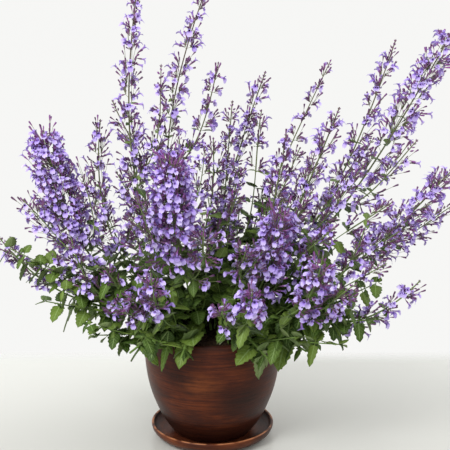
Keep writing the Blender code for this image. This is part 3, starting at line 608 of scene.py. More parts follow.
# Veins of a leaf: how many pairs, how they slant, how sharp they are and where they end on
# the way to the edge, and the midrib's edges
VEIN_PAIRS = 7.0
VEIN_SLANT = 0.24
VEIN_EDGES = (0.10, 0.02)
VEINS_END = (0.92, 0.55)
MIDRIB_EDGES = (0.11, 0.03)

# How far a part's number may be off and still be meant
KIND_MARGIN = 0.4

# Patches that the fire left, with painted shade at the pot's foot and inside its rim and a
# painted highlight at its front: the middle, where they are full and where they end, the colour
# and how strong; how much lower than wide they are; and the heights where the saucer is worn
POT_PATCHES = (
    # painted shade: the pot darkens towards its foot
    ((0.0, 0.0, 0.0), 0.078, 0.135, SMOKE_AND_SHADE, 0.70),
    # painted highlight on the front of the pot
    ((-0.015, -0.090, 0.112), 0.006, 0.044, EMBER_AND_SHEEN, 0.80),
    ((0.045, -0.080, 0.086), 0.012, 0.056, SMOKE_AND_SHADE, 0.85),
    ((-0.070, -0.040, 0.040), 0.010, 0.050, SMOKE_AND_SHADE, 0.80),
    ((0.080, 0.060, 0.110), 0.010, 0.055, SMOKE_AND_SHADE, 0.80),
    ((-0.060, 0.075, 0.100), 0.010, 0.050, EMBER_AND_SHEEN, 0.60),
    # painted shade over the rim and inside the pot's mouth
    ((0.0, 0.0, 0.185), 0.098, 0.108, SMOKE_AND_SHADE, 0.75),
)
SAUCER_PATCHES = (
    ((-0.060, -0.060, 0.010), 0.010, 0.050, EMBER_AND_SHEEN, 0.5),
    ((0.070, -0.040, 0.012), 0.010, 0.045, SMOKE_AND_SHADE, 0.7),
    ((0.0, 0.080, 0.010), 0.010, 0.050, SMOKE_AND_SHADE, 0.7),
)
PATCH_SQUASH = (1.0, 1.0, 1.7)
SAUCER_WEAR = (0.0185, 0.0198)

# The table: just under the saucer, its size, where it fades out behind and all round, where
# its colour starts to change, and its colours
TABLE_Z = -0.0002
TABLE_WIDTH = 3.4
TABLE_FRONT = 1.7
TABLE_BACK = 0.36
TABLE_FADE = 0.07
TABLE_EDGES = (1.65, 0.75)
TABLE_TURNS = -0.2
TABLE_NEAR = (0.565, 0.565, 0.530)
TABLE_FAR = (0.70, 0.705, 0.67)

# The room's light, and soft lights by place, size and power, with the place that they face
ROOM = (0.955, 0.955, 0.94)
ROOM_LIGHT = 0.97
LIT = (0.0, 0.0, 0.30)
SOFT_LIGHTS = (
    ((-1.3, -1.5, 1.9), 1.0, 44),
    ((1.5, 0.8, 1.4), 1.2, 10),
)

# The camera: its place, the degrees that it looks down, and its lens and sensor in millimetres
CAMERA = (0.019, -1.7, 0.7525)
CAMERA_DOWN = 14.14
LENS = 96.24
SENSOR = 36

POT_UNDERSIDE = SAUCER_FLOOR + SEAT_GAP
POT_INSIDE_FLOOR = POT_UNDERSIDE + POT_FLOOR
POT_INSIDE_BELLY = POT_BELLY_RADIUS - POT_WALL
POT_INSIDE_RIM = POT_RIM_RADIUS - POT_WALL


# Directions
def unit(vector):
    return vector / np.linalg.norm(vector)


def between(first, second, angle):
    """The first direction, turned by an angle towards the second, square to it or nearly"""
    return first * math.cos(angle) + second * math.sin(angle)


def tilted(sideways, elevation):
    """A direction that points along a level one, raised by an angle"""
    return np.array((*(sideways * math.cos(elevation)), math.sin(elevation)))


def axes_along(direction, above):
    """Three directions: across, along a given one, and the one nearest to above"""
    across = np.cross(direction, above)
    if np.linalg.norm(across) < 1e-6:
        across = np.cross(direction, (1.0, 0.0, 0.0))
    across = unit(across)
    return np.array((across, direction, np.cross(across, direction)))


def rolled(axes, angle):
    """The same directions turned about the middle one"""
    across, along, above = axes
    return np.array((between(across, above, angle), along, between(above, -across, angle)))


# The lines that the plain model's stems and spikes follow
class Line:
    """A smooth line through space, read by the length along it, with a frame that doesn't twist"""

    def __init__(self, corners, lead=None):
        samples = 60
        share = np.linspace(0, 1, samples)[:, None]
        a, b, c, d = (np.array(corner, float) for corner in corners)
        rest = 1 - share
        points = rest**3 * a + 3 * rest**2 * share * b + 3 * rest * share**2 * c + share**3 * d
        if lead is not None:
            points = np.vstack([np.array(lead, float), points])
        steps = np.diff(points, axis=0)
        lengths = np.linalg.norm(steps, axis=1)
        self.reach = np.concatenate([[0], np.cumsum(lengths)])
        self.length = self.reach[-1]
        self.points = points
        tangents = np.gradient(points, self.reach, axis=0)
        self.tangents = tangents / np.linalg.norm(tangents, axis=1)[:, None]
        sides = []
        side = np.array((1.0, 0.0, 0.0))
        for tangent in self.tangents:
            side = unit(side - tangent * side.dot(tangent))
            sides.append(side)
        self.sides = np.array(sides)

    def read(self, values, reach):
        return np.array([np.interp(reach, self.reach, values[:, k]) for k in range(3)])

    def at(self, reach):
        """Point, direction and two cross directions at a length along the line"""
        point = self.read(self.points, reach)
        ahead = unit(self.read(self.tangents, reach))
        side = self.read(self.sides, reach)
        side = unit(side - ahead * side.dot(ahead))
        return point, ahead, side, np.cross(ahead, side)


def settle_roots(tips):
    """Where the stems stand: each under its side of the bush, further out the more it leans"""
    roots = []
    for x, y, z in tips:
        reach = math.hypot(x - BUSH_X, y)
        lean = math.atan2(reach, z - SOIL_HEIGHT)
        share = min(lean / FURTHEST_LEAN, 1.0)
        roots.append([(x - BUSH_X) / reach * ROOT_REACH * share, y / reach * ROOT_REACH * share])
    roots = np.array(roots)
    for _ in range(SETTLING_ROUNDS):
        for first in range(len(roots)):
            for second in range(first + 1, len(roots)):
                apart = roots[second] - roots[first]
                distance = np.linalg.norm(apart)
                if distance < ROOT_SPACING:
                    push = apart / distance * (ROOT_SPACING - distance) / 2
                    roots[first] -= push
                    roots[second] += push
        reach = np.linalg.norm(roots, axis=1)
        roots *= np.minimum(1, ROOT_REACH / reach)[:, None]
    return [(float(x), float(y)) for x, y in roots]


def soil_top(x, y):
    """Height of the soil's surface: a low dome with gentle lumps"""
    share = math.hypot(x, y) / POT_INSIDE_RIM
    waves = [
        math.sin(place * count + phase)
        for place, count, phase in zip((x, y), SOIL_WAVES, SOIL_PHASES)
    ]
    return SOIL_HEIGHT + SOIL_DOME * (1 - share * share) + SOIL_LUMPS * (waves[0] * waves[1])


def flowering_ends(chord, lean):
    """The first and last direction of a flowering stem: an even arc up to its leaning tip"""
    along = unit(chord)
    aside = math.radians(lean)
    last = unit(np.array((math.sin(aside), along[1] * TIP_DEPTH_SHARE, math.cos(aside))))
    first = 2 * last.dot(along) * along - last
    level = np.linalg.norm(first[:2])
    if math.atan2(first[2], level) < LEAST_RISE:
        first = tilted(unit(first[:2]), LEAST_RISE)
    return first, last


def shoot_ends(chord):
    """The first and last direction of a leafy shoot: up, over the pot's rim and down"""
    sideways = unit(chord[:2])
    return [tilted(sideways, rise) for rise in SHOOT_RISES]


def rooted_line(root, tip, ends, pulls):
    """A line out of its hole in the soil to a tip, with its end directions from the straight
    way between them"""
    foot = np.array((*root, soil_top(*root)))
    start = foot + UP * COLLAR
    tip = np.array(tip)
    chord = tip - start
    first, last = ends(chord)
    near, far = (np.linalg.norm(chord) * share for share in pulls)
    corners = (start, start + first * near, tip - last * far, tip)
    return Line(corners, lead=foot - UP * HOLE_DEPTH)


def side_line(start, ahead, tip):
    """The line of a side spike: out from its spike, then up beside it"""
    tip = np.array(tip)
    chord = tip - start
    length = np.linalg.norm(chord)
    outward = unit(chord - ahead * chord.dot(ahead))
    first = unit(outward + ahead * SIDE_FOLLOWS[0])
    last = unit(chord / length + ahead * SIDE_FOLLOWS[1])
    hold = length * SIDE_PULL
    return Line((start, start + first * hold, tip - last * hold, tip))


def whorl_ring(line, place, radius, turn):
    """Three corners of a whorl of the plain model"""
    point, _, side, other = line.at(place)
    return [point + radius * between(side, other, turn + math.tau * k / 3) for k in range(3)]


def side_spike_line(line, last, gap, number, tip):
    """The line of a side spike, out of the nearest face of its whorl in the plain model, whose
    whorls close up towards the tip"""
    foot = last + FIRST_WHORL
    place = foot
    for _ in range(number - 1):
        share = (place - last) / (line.length - last)
        place += gap * (GAP_LOW - GAP_DROP * share)
    thinner = SPIKE_RADII[1] - SPIKE_RADII[0]
    radius = SPIKE_RADII[0] + thinner * (place - foot) / (line.length - foot)
    turn = math.pi / 3 * (number - 1)
    low = whorl_ring(line, place - WHORL_HEIGHT / 2, radius, turn)
    high = whorl_ring(line, place + WHORL_HEIGHT / 2, radius, turn + math.pi / 3)
    point, ahead, _, _ = line.at(place)
    away = np.array(tip) - point
    faces = [sum((low[k], low[(k + 1) % 3], high[k])) / 3 for k in range(3)]
    start = max(faces, key=lambda middle: (middle - point).dot(away))
    return side_line(start, ahead, tip)


def flowering_lines(index, root):
    """A flowering stem's line, where its spike starts on it, and the lines of its side spikes"""
    tip, lean, spike_length, gap, _ = FLOWERING[index]
    line = rooted_line(root, tip, lambda chord: flowering_ends(chord, lean), STEM_PULLS)
    last = line.length - spike_length
    side_lines = [
        side_spike_line(line, last, gap, whorl, side_tip)
        for stem, whorl, side_tip in SIDE_SPIKES
        if stem == index + 1
    ]
    return line, last, side_lines


# Modelling by hand: a primitive, then edit mode
def select_only(*pieces):
    """Selects some pieces and nothing else, the last of them active"""
    bpy.ops.object.select_all(action="DESELECT")
    for piece in pieces:
        piece.select_set(True)
    bpy.context.view_layer.objects.active = pieces[-1]


def begin(add, **settings):
    """A new primitive, alone in the selection and in edit mode with nothing selected"""
    bpy.ops.object.select_all(action="DESELECT")
    add(**settings)
    piece = bpy.context.object
    bpy.ops.object.transform_apply(location=True, rotation=True, scale=True)
    bpy.ops.object.mode_set(mode="EDIT")
    bpy.ops.mesh.select_mode(type="VERT")
    bpy.ops.mesh.select_all(action="DESELECT")
    return piece


def pick(piece, test):
    """Selects the points of the mesh in hand that pass a test of their place"""
    shape = bmesh.from_edit_mesh(piece.data)
    for face in shape.faces:
        face.select = False
    for edge in shape.edges:
        edge.select = False
    for point in shape.verts:
        point.select = bool(test(point.co))
    shape.select_flush(True)
    bmesh.update_edit_mesh(piece.data)


def pull(shift, grow, centre):
    """Extrudes what is selected, moves the new edge and sizes it about a centre"""
    bpy.ops.mesh.extrude_region_move(TRANSFORM_OT_translate={"value": shift})
    if tuple(grow) != (1, 1, 1):
        bpy.ops.transform.resize(value=grow, center_override=centre)


def finish_mesh(piece, name):
    """Back to object mode, under its own name"""
    bpy.ops.object.mode_set(mode="OBJECT")
    piece.name = name
    piece.data.name = name
    return piece


def add_thing(name, data):
    """A new object in the scene for a mesh or a curve"""
    thing = bpy.data.objects.new(name, data)
    bpy.context.scene.collection.objects.link(thing)
    return thing


def take_apart(piece):
    """The points and faces of a piece, which then leaves the scene"""
    mesh = piece.data
    points = np.array([vertex.co for vertex in mesh.vertices])
    faces = [tuple(face.vertices) for face in mesh.polygons]
    bpy.data.objects.remove(piece)
    bpy.data.meshes.remove(mesh)
    return points, faces


def shifted(faces, first):
    """Faces whose points are counted on from a number"""
    return [tuple(corner + first for corner in face) for face in faces]


def point_values(mesh, name, values, kind="FLOAT"):
    """Stores a number or a vector for each point of a mesh"""
    layer = mesh.attributes.new(name, kind, "POINT")
    field = "value" if kind == "FLOAT" else "vector"
    layer.data.foreach_set(field, np.asarray(values, np.float32).ravel())


def smooth(piece, degrees):
    select_only(piece)
    bpy.ops.object.shade_smooth_by_angle(angle=math.radians(degrees))


def stand_for(piece, node, material):
    """A finished piece in the place of its node"""
    piece.data.materials.clear()
    piece.data.materials.append(material)
    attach(piece, "root")
    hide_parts(node)


# Finishes: sums written as Python expressions on the sockets of a material's nodes
class Signal:
    """What a socket gives out, ready for sums with numbers and with other signals"""

    def __init__(self, paint, socket):
        self.paint = paint
        self.socket = socket

    def maths(self, operation, first, second=0.0):
        return self.paint.node("ShaderNodeMath", {"operation": operation}, {0: first, 1: second})

    def __add__(self, other):
        return self.maths("ADD", self, other)

    def __sub__(self, other):
        return self.maths("SUBTRACT", self, other)

    def __rsub__(self, other):
        return self.maths("SUBTRACT", other, self)

    def __mul__(self, other):
        return self.maths("MULTIPLY", self, other)

    __radd__ = __add__
    __rmul__ = __mul__


class Paint:
    """A material in the making: its nodes, and the shader that they feed"""

    def __init__(self, name, **settings):
        self.material = bpy.data.materials.new(name)
        self.material.use_nodes = True
        self.tree = self.material.node_tree
        self.shader = self.tree.nodes["Principled BSDF"]
        self.feed(**settings)

    def node(self, kind, settings=None, values=None, output=0):
        """Any node: its settings first, then the numbers or signals of its sockets"""
        node = self.tree.nodes.new(kind)
        for name, value in (settings or {}).items():
            if name == "stops":
                self.set_stops(node.color_ramp, value)
            else:
                setattr(node, name, value)
        for name, value in (values or {}).items():
            self.join(value, node.inputs[name])
        return Signal(self, node.outputs[output])

    @staticmethod
    def set_stops(ramp, stops):
        while len(ramp.elements) < len(stops):
            ramp.elements.new(0.5)
        for element, (place, colour) in zip(ramp.elements, stops):
            element.position = place
            element.color = (*colour, 1.0)

    def join(self, value, socket):
        if isinstance(value, Signal):
            self.tree.links.new(value.socket, socket)
        else:
            socket.default_value = value

    def feed(self, **values):
        """Sets or joins sockets of the shader, with _ for each space in their names"""
        for name, value in values.items():
            self.join(value, self.shader.inputs[name.replace("_", " ")])

    def place(self):
        return self.node("ShaderNodeTexCoord", output="Object")

    def axis(self, vector, number):
        """The x, y or z of a vector, by its number from 0"""
        return self.node("ShaderNodeSeparateXYZ", values={0: vector}, output=number)

    def carried(self, name, output):
        """A value that each point of the mesh carries"""
        return self.node("ShaderNodeAttribute", {"attribute_name": name}, output=output)

    def noise(self, place, scale, detail=3.0, roughness=0.5, stretch=(1, 1, 1)):
        """Even noise between 0 and 1 with so many waves a metre"""
        if stretch != (1, 1, 1):
            place = self.node("ShaderNodeMapping", values={"Vector": place, "Scale": stretch})
        values = {"Vector": place, "Scale": scale, "Detail": detail, "Roughness": roughness}
        return self.node("ShaderNodeTexNoise", values=values)

    def ramp(self, factor, stops):
        return self.node("ShaderNodeValToRGB", {"stops": stops}, {"Fac": factor})

    def fade(self, value, low, high):
        """0 below low and 1 above high, smooth between; falling where low is the greater"""
        settings = {"interpolation_type": "SMOOTHSTEP"}
        values = {"Value": value, "From Min": min(low, high), "From Max": max(low, high)}
        rising = self.node("ShaderNodeMapRange", settings, values)
        return rising if low < high else 1 - rising

    def mix(self, factor, first, second):
        """Colours: the first where the factor is 0, the second where it is 1"""
        values = {0: factor, 6: self.colour(first), 7: self.colour(second)}
        return self.node("ShaderNodeMix", {"data_type": "RGBA"}, values, output=2)

    @staticmethod
    def colour(value):
        return value if isinstance(value, Signal) else (*value, 1.0)

    def vector(self, operation, first, second=(0, 0, 0), output=0):
        settings = {"operation": operation}
        return self.node("ShaderNodeVectorMath", settings, {0: first, 1: second}, output)

    def spot(self, place, centre, near, far):
        """1 within a distance of a place, fading to 0 at a greater one, and lower than wide"""
        away = self.vector("SUBTRACT", place, centre)
        away = self.vector("MULTIPLY", away, PATCH_SQUASH)
        return self.fade(self.vector("LENGTH", away, output=1), far, near)

    def bump(self, height, distance, strength):
        values = {"Height": height, "Distance": distance, "Strength": strength}
        return self.node("ShaderNodeBump", values=values)


def clay_paint(name, tones, patches, worn_height=None):
    """Burnished clay: fine turning lines, smoky and light patches, some of them painted shade and
    a painted highlight, soft sheen
    """
    paint = Paint(name, Specular_IOR_Level=0.16)
    place = paint.place()
    clouds = paint.noise(place, *CLAY_CLOUDS)
    bands = paint.noise(place, *CLAY_BANDS)
    lines = paint.noise(place, *CLAY_LINES)
    grain = paint.noise(place, *CLAY_GRAIN)
    tone = clouds * 0.42 + bands * 0.24 + lines * 0.34
    colour = paint.ramp(tone, tuple(zip(CLAY_STOPS, tones)))
    # the patches are smoke and fire marks, painted shade and a painted highlight
    for centre, near, far, tint, weight in patches:
        ragged = paint.spot(place, centre, near, far) * paint.fade(clouds + bands * 0.8, *RAGGED)
        colour = paint.mix(ragged * weight, colour, tint)
    if worn_height:
        worn = paint.fade(paint.axis(place, 2), *worn_height)
        worn = worn * paint.fade(paint.noise(place, *CLAY_WEAR), *WEAR_PATCHY)
        colour = paint.mix(worn * 0.75, colour, WORN_CLAY)
    pits = paint.fade(paint.noise(place, *CLAY_PITS), *PITTED)
    colour = paint.mix(pits * 0.5, colour, SMOKE_AND_SHADE)
    height = lines * 0.5 + bands * 0.9 + grain * 0.12 - pits * 0.3
    paint.feed(
        Base_Color=colour,
        Roughness=bands * 0.16 + lines * 0.12 + clouds * 0.16 + 0.16,
        Normal=paint.bump(height, 0.0007, 0.55),
    )
    return paint.material


def soil_paint():
    """Damp potting soil: dark crumbs with a few light fibres"""
    paint = Paint("potting_soil", Specular_IOR_Level=0.25)
    place = paint.place()
    crumbs = paint.noise(place, *SOIL_CRUMBS)
    clods = paint.noise(place, *SOIL_CLODS)
    fibres = paint.fade(paint.noise(place, *SOIL_FIBRES), *FIBROUS)
    colour = paint.ramp(crumbs * 0.7 + clods * 0.3, SOIL_TONES)
    colour = paint.mix(fibres * 0.6, colour, FIBRE)
    paint.feed(
        Base_Color=colour,
        Roughness=0.98 - clods * 0.15,
        Normal=paint.bump(crumbs + clods, 0.0012, 0.8),
    )
    return paint.material


def plant_paint(name, **settings):
    """Every part of the plant, told apart by the values that each point of it carries: which
    part it is, how far along it the point lies, a tone of its own, and how far across a leaf"""
    paint = Paint(name, **settings)
    place = paint.place()
    part = paint.carried("part", "Vector")
    kind, along, tone = (paint.axis(part, number) for number in range(3))
    across = paint.carried("across", "Fac")
    mottle = paint.noise(place, *PLANT_MOTTLE)

    def maths(operation, *values):
        return paint.node("ShaderNodeMath", {"operation": operation}, dict(enumerate(values)))

    stalk = paint.ramp(along + (mottle - 0.5) * 0.3, STALK_TONES)
    dark, pink = paint.ramp(along, CALYX_DARK), paint.ramp(along, CALYX_PINK)
    calyx = paint.mix(paint.fade(tone, *PINK_TONES), dark, pink)
    petal = paint.mix(tone, paint.ramp(along, PETAL_DEEP), paint.ramp(along, PETAL_PALE))
    dots = paint.fade(paint.noise(place, *THROAT_DOTS), *DOTTED) * paint.fade(along, *DOTS_START)
    petal = paint.mix(dots * paint.fade(along, *DOTS_END) * 0.45, petal, THROAT)
    side = maths("ABSOLUTE", across)
    ribs = maths("PINGPONG", (along - side * VEIN_SLANT) * VEIN_PAIRS, 0.5)
    veins = paint.fade(ribs, *VEIN_EDGES) * paint.fade(side, *VEINS_END)
    lines = maths("MAXIMUM", paint.fade(side, *MIDRIB_EDGES), veins * 0.7)
    leaf = paint.ramp(tone + (mottle - 0.5) * 0.45, LEAF_TONES)
    leaf = paint.mix(lines * 0.7, leaf, LEAF_VEIN)
    under = paint.ramp(tone + (mottle - 0.5) * 0.3, UNDERSIDE_TONES)
    under = paint.mix(lines * 0.5, under, UNDERSIDE_VEIN)
    colour = stalk
    for number, tint in ((CALYX, calyx), (PETAL, petal), (LEAF, leaf), (UNDERSIDE, under)):
        is_kind = maths("COMPARE", kind, float(number), KIND_MARGIN)
        colour = paint.mix(is_kind, colour, tint)
    paint.feed(Base_Color=colour)
    return paint.material


def table_paint():
    """A pale table that lightens towards the back and fades out at its edges"""
    paint = Paint("pale_table", Roughness=0.32)
    back = paint.axis(paint.place(), 1)
    away = paint.vector("LENGTH", paint.place(), output=1)
    shown = paint.fade(back, TABLE_BACK, TABLE_BACK - TABLE_FADE) * paint.fade(away, *TABLE_EDGES)
    colour = paint.mix(paint.fade(back, TABLE_TURNS, TABLE_BACK), TABLE_NEAR, TABLE_FAR)
    paint.feed(Base_Color=colour, Alpha=shown)
    return paint.material


# Small parts that repeat, each modelled once
class Pattern:
    """A part's points, faces and values, read from the piece that was modelled by hand"""

    def __init__(self, piece, kinds, along, across=None):
        self.points, self.faces = take_apart(piece)
        count = len(self.points)
        self.kinds = np.broadcast_to(np.asarray(kinds, float), count)
        self.along = np.asarray(along(self.points), float)
        self.across = np.zeros(count) if across is None else across

    def laid(self, start, axes, size, droop=0.0):
        """Its points with +X, +Y and +Z on three directions, drooping towards the end"""
        points = start + (self.points * size) @ axes
        if droop:
            share = self.points[:, 1]
            points[:, 2] -= droop * size * share * share
        return points


def model_leaf(rows, columns, fold, quilt):
    """A leaf a metre long on +Y: folded on its midrib, with raised halves, its upper and lower
    face told apart"""
    piece = begin(bpy.ops.mesh.primitive_grid_add, x_subdivisions=columns, y_subdivisions=1, size=2)
    (low, first), (high, second) = rows[:2]
    pick(piece, lambda co: co.y < 0)
    bpy.ops.transform.translate(value=(0, 1 + low, 0))
    bpy.ops.transform.resize(value=(first, 1, 1), center_override=(0, low, 0))
    pick(piece, lambda co: co.y > 0.9)
    bpy.ops.transform.translate(value=(0, high - 1, 0))
    bpy.ops.transform.resize(value=(second, 1, 1), center_override=(0, high, 0))
    for (low, near), (high, far) in zip(rows[1:], rows[2:]):
        pull((0, high - low, 0), (far / near, 1, 1), (0, high, 0))
    pick(piece, lambda co: abs(co.x) < 1e-4 and co.y > BLADE_FROM)
    bpy.ops.transform.translate(value=(0, 0, -fold))
    places, widths = zip(*rows)
    if quilt:
        low, high = QUILTED

        def on_quilt(co):
            return co.y > BLADE_FROM and low < abs(co.x) / np.interp(co.y, places, widths) < high

        pick(piece, on_quilt)
        bpy.ops.transform.translate(value=(0, 0, quilt))
    bpy.ops.mesh.select_all(action="SELECT")
    bpy.ops.mesh.normals_make_consistent(inside=False)
    finish_mesh(piece, "leaf pattern")
    if piece.data.polygons[0].normal.z < 0:
        piece.data.flip_normals()
    points = np.array([vertex.co for vertex in piece.data.vertices])
    across = points[:, 0] / np.interp(points[:, 1], places, widths)
    thick = piece.modifiers.new("thickness", "SOLIDIFY")
    thick.thickness = LEAF_THICKNESS
    thick.offset = -1
    bpy.ops.object.modifier_apply(modifier="thickness")
    kinds = np.repeat((LEAF, UNDERSIDE), len(points))
    return Pattern(piece, kinds, lambda where: where[:, 1], np.tile(across, 2))


def model_tube(rings, sides, turn=0.0):
    """An open tube along +Y by (place, radius), in edit mode with its last ring selected"""
    (start, radius) = rings[0]
    piece = begin(
        bpy.ops.mesh.primitive_circle_add,
        vertices=sides,
        radius=radius,
        location=(0, start, 0),
        rotation=(math.pi / 2, turn, 0),
    )
    bpy.ops.mesh.select_all(action="SELECT")
    for (low, near), (high, far) in zip(rings, rings[1:]):
        share = far / near
        pull((0, high - low, 0), (share, 1, share), (0, high, 0))
    return piece


def shape_lobe(piece, test, widen, shift):
    """Widens the points that pass a test and moves them"""
    pick(piece, test)
    bpy.ops.transform.resize(value=(widen, 1, 1), center_override=(0, 0, 0))
    bpy.ops.transform.translate(value=shift)


def model_corolla(lip, hood, flare):
    """An open floret on +Y: a slim tube that widens to its throat, a broad hanging lip with two
    side lobes and a notched middle one, and a small hood"""
    piece = model_tube(COROLLA_TUBE, COROLLA_SIDES, math.pi / COROLLA_SIDES)
    start = COROLLA_TUBE[0][0]
    reach, wide = COROLLA_TUBE[-1]
    pick(piece, lambda co: co.y > reach - 1e-5 and co.z < LIP_BELOW * wide)
    (out, down), (further, lower) = LIP_STEPS
    pull((0, out, down * lip), (flare, 1, 1), (0, reach, 0))
    centre = (0, reach + LIP_CENTRE[0], LIP_CENTRE[1] * lip)
    pull((0, further, lower * lip), LIP_NARROWS, centre)
    end = reach + LIP_SPREAD

    def on_side_lobe(co):
        return co.y > end and abs(co.x) > LOBES_PART and co.z < SIDE_LOBES_BELOW

    shape_lobe(piece, on_side_lobe, *SIDE_LOBES)
    shape_lobe(piece, lambda co: co.y > end and abs(co.x) < LOBES_PART, *MIDDLE_LOBE)
    low = min(vertex.co.z for vertex in bmesh.from_edit_mesh(piece.data).verts)
    bpy.ops.mesh.subdivide(number_cuts=1)
    pick(piece, lambda co: co.z < low + NOTCH_HALF and abs(co.x) < NOTCH_HALF)
    bpy.ops.transform.translate(value=NOTCH)
    pick(piece, lambda co: abs(co.y - reach) < 1e-5 and co.z > HOOD_ABOVE * wide)
    pull((0, HOOD_STEP[0], HOOD_STEP[1] * hood), (HOOD_FLARE, 1, 1), (0, reach, 0))
    finish_mesh(piece, "floret pattern")

    def along(points):
        out = np.linalg.norm(points - (0, reach, 0), axis=1)
        tube = TUBE_SHADE * (points[:, 1] - start) / (reach - start)
        lips = LIP_SHADE[0] + LIP_SHADE[1] * out / out.max()
        return np.where(points[:, 1] > reach + 1e-5, lips, tube)

    return Pattern(piece, PETAL, along)


def model_calyx(rings, teeth, sides):
    """A calyx on its stalk, open at its mouth, with a tooth between each two corners"""
    piece = model_tube(rings, sides)
    start, end = rings[0][0], rings[-1][0]
    corners = [tuple(point.co) for point in bmesh.from_edit_mesh(piece.data).verts if point.select]
    bpy.ops.mesh.subdivide(number_cuts=1)

    def on_tooth(co):
        return co.y > end - 1e-5 and min(math.dist(co, corner) for corner in corners) > 1e-4

    pick(piece, on_tooth)
    bpy.ops.transform.translate(value=(0, teeth, 0))
    finish_mesh(piece, "calyx pattern")
    return Pattern(piece, CALYX, lambda points: (points[:, 1] - start) / (end + teeth - start))


def model_twig():
    """A thin stalk a metre long on +Y, with six points round its end"""
    piece = model_tube(TWIG_RINGS, TWIG_SIDES)
    bpy.ops.mesh.subdivide(number_cuts=1)
    finish_mesh(piece, "twig pattern")
    return Pattern(piece, STALK, lambda points: np.full(len(points), TWIG_SHADE))


def model_bud(length, radius):
    """A closed bud on +Y, widest in its lower half"""
    foot = radius * BUD_FOOT
    piece = begin(
        bpy.ops.mesh.primitive_cone_add,
        vertices=4,
        radius1=foot,
        radius2=0,
        depth=length,
        location=(0, length / 2, 0),
        rotation=(-math.pi / 2, 0, 0),
    )
    widest = (0, length * BUD_WIDEST, 0)
    bpy.ops.mesh.select_all(action="SELECT")
    bpy.ops.mesh.bisect(plane_co=widest, plane_no=(0, 1, 0))
    share = radius / (foot * (1 - BUD_WIDEST))
    bpy.ops.transform.resize(value=(share, 1, share), center_override=widest)
    finish_mesh(piece, "bud pattern")
    shade = 1 - BUD_SHADE
    return Pattern(piece, CALYX, lambda points: BUD_SHADE + shade * points[:, 1] / length)


class Bunch:
    """One piece of the plant in the making: copies of the patterns, joined in one mesh"""

    def __init__(self):
        self.count = 0
        self.points, self.faces, self.parts, self.across = [], [], [], []

    def put(self, pattern, points, tone):
        """A copy of a pattern, whose points lie in their places already"""
        self.points.append(points)
        self.faces.extend(shifted(pattern.faces, self.count))
        tones = np.full(len(points), tone)
        self.parts.append(np.column_stack([pattern.kinds, pattern.along, tones]))
        self.across.append(pattern.across)
        self.count += len(points)

    def copy(self, pattern, start, axes, size, tone):
        self.put(pattern, pattern.laid(start, axes, size), tone)

    def twig(self, foot, end, ahead):
        """A thin stalk between two places"""
        reach = end - foot
        length = np.linalg.norm(reach)
        self.copy(TWIG, foot, axes_along(reach / length, ahead), (1, length, 1), SHOOT_TONE)

    def stalks(self, lines, tone):
        """Square stalks drawn as curves along lines of points, with the radii there"""
        curve = bpy.data.curves.new("stalks", "CURVE")
        curve.dimensions = "3D"
        curve.bevel_depth = 1.0
        curve.bevel_resolution = 0
        curve.use_fill_caps = True
        for points, radii in lines:
            spline = curve.splines.new("POLY")
            spline.points.add(len(points) - 1)
            spline.points.foreach_set("co", np.column_stack([points, np.ones(len(points))]).ravel())
            spline.points.foreach_set("radius", radii)
        select_only(add_thing("stalks", curve))
        bpy.ops.object.convert(target="MESH")

        def purple(points):
            return np.clip((points[:, 2] - SOIL_HEIGHT) / PURPLE_HEIGHT, 0, 1)

        shape = Pattern(bpy.context.object, STALK, purple)
        self.put(shape, shape.points, tone)

    def piece(self, name):
        mesh = bpy.data.meshes.new(name)
        mesh.from_pydata(np.vstack(self.points).tolist(), [], self.faces)
        point_values(mesh, "part", np.vstack(self.parts), "FLOAT_VECTOR")
        point_values(mesh, "across", np.concatenate(self.across))
        mesh.shade_smooth()
        return add_thing(name, mesh)


# Growing. A bloom is how a spike flowers: the gap between its whorls, how far its florets
# reach out, how full of them it is, how much larger they are, and the share of the spike and
# the height that its flowers start from. A cyme is one side of a whorl.
Bloom = namedtuple("Bloom", "gap reach fullness larger from_share floor", defaults=(1.0, 0.0, 0.0))
Cyme = namedtuple("Cyme", "angle reach opened closed larger pink")


def leaf_has_room(points):
    """Whether a leaf is clear of the pot and the soil, and leaves the gap at the front open"""
    out = np.hypot(points[:, 0], points[:, 1])
    height = points[:, 2]
    outside = out > POT_BELLY_RADIUS + LEAF_GAP
    inside = (out < POT_INSIDE_RIM - LEAF_GAP) & (height > SOIL_HEIGHT + SOIL_DOME + LEAF_GAP)
    if not np.all((height > POT_HEIGHT + LEAF_GAP) | outside | inside):
        return False
    low, high = FRONT_GAP
    bare = (points[:, 0] > low) & (points[:, 0] < high) & (points[:, 1] < FRONT_GAP_Y)
    return not np.any(bare & (height < FRONT_GAP_TOP)) and height.min() > LOWEST_LEAF


def add_leaf(bunch, pattern, root, outward, ahead, length, draw):
    """A leaf on a stem: it tries other turns and sizes until it has room"""
    hangs = root[2] < HANGING_BELOW
    raised = math.radians(draw.uniform(*(HANGING_RAISED if hangs else LEAF_RAISED)))
    aside = math.radians(draw.uniform(-LEAF_ASIDE, LEAF_ASIDE))
    droop = draw.uniform(*(HANGING_DROOP if hangs else LEAF_DROOP))
    roll = draw.gauss(0, LEAF_ROLL)
    tone = draw.random()
    level = between(outward, np.cross(ahead, outward), aside)
    for size in LEAF_SIZES:
        for lift in LEAF_LIFTS:
            direction = unit(between(level, unit(ahead + UP), raised + math.radians(lift)))
            axes = rolled(axes_along(direction, UP), roll)
            points = pattern.laid(root, axes, length * size, droop)
            if leaf_has_room(points[FOOT_POINTS:]):
                bunch.put(pattern, points, tone)
                return


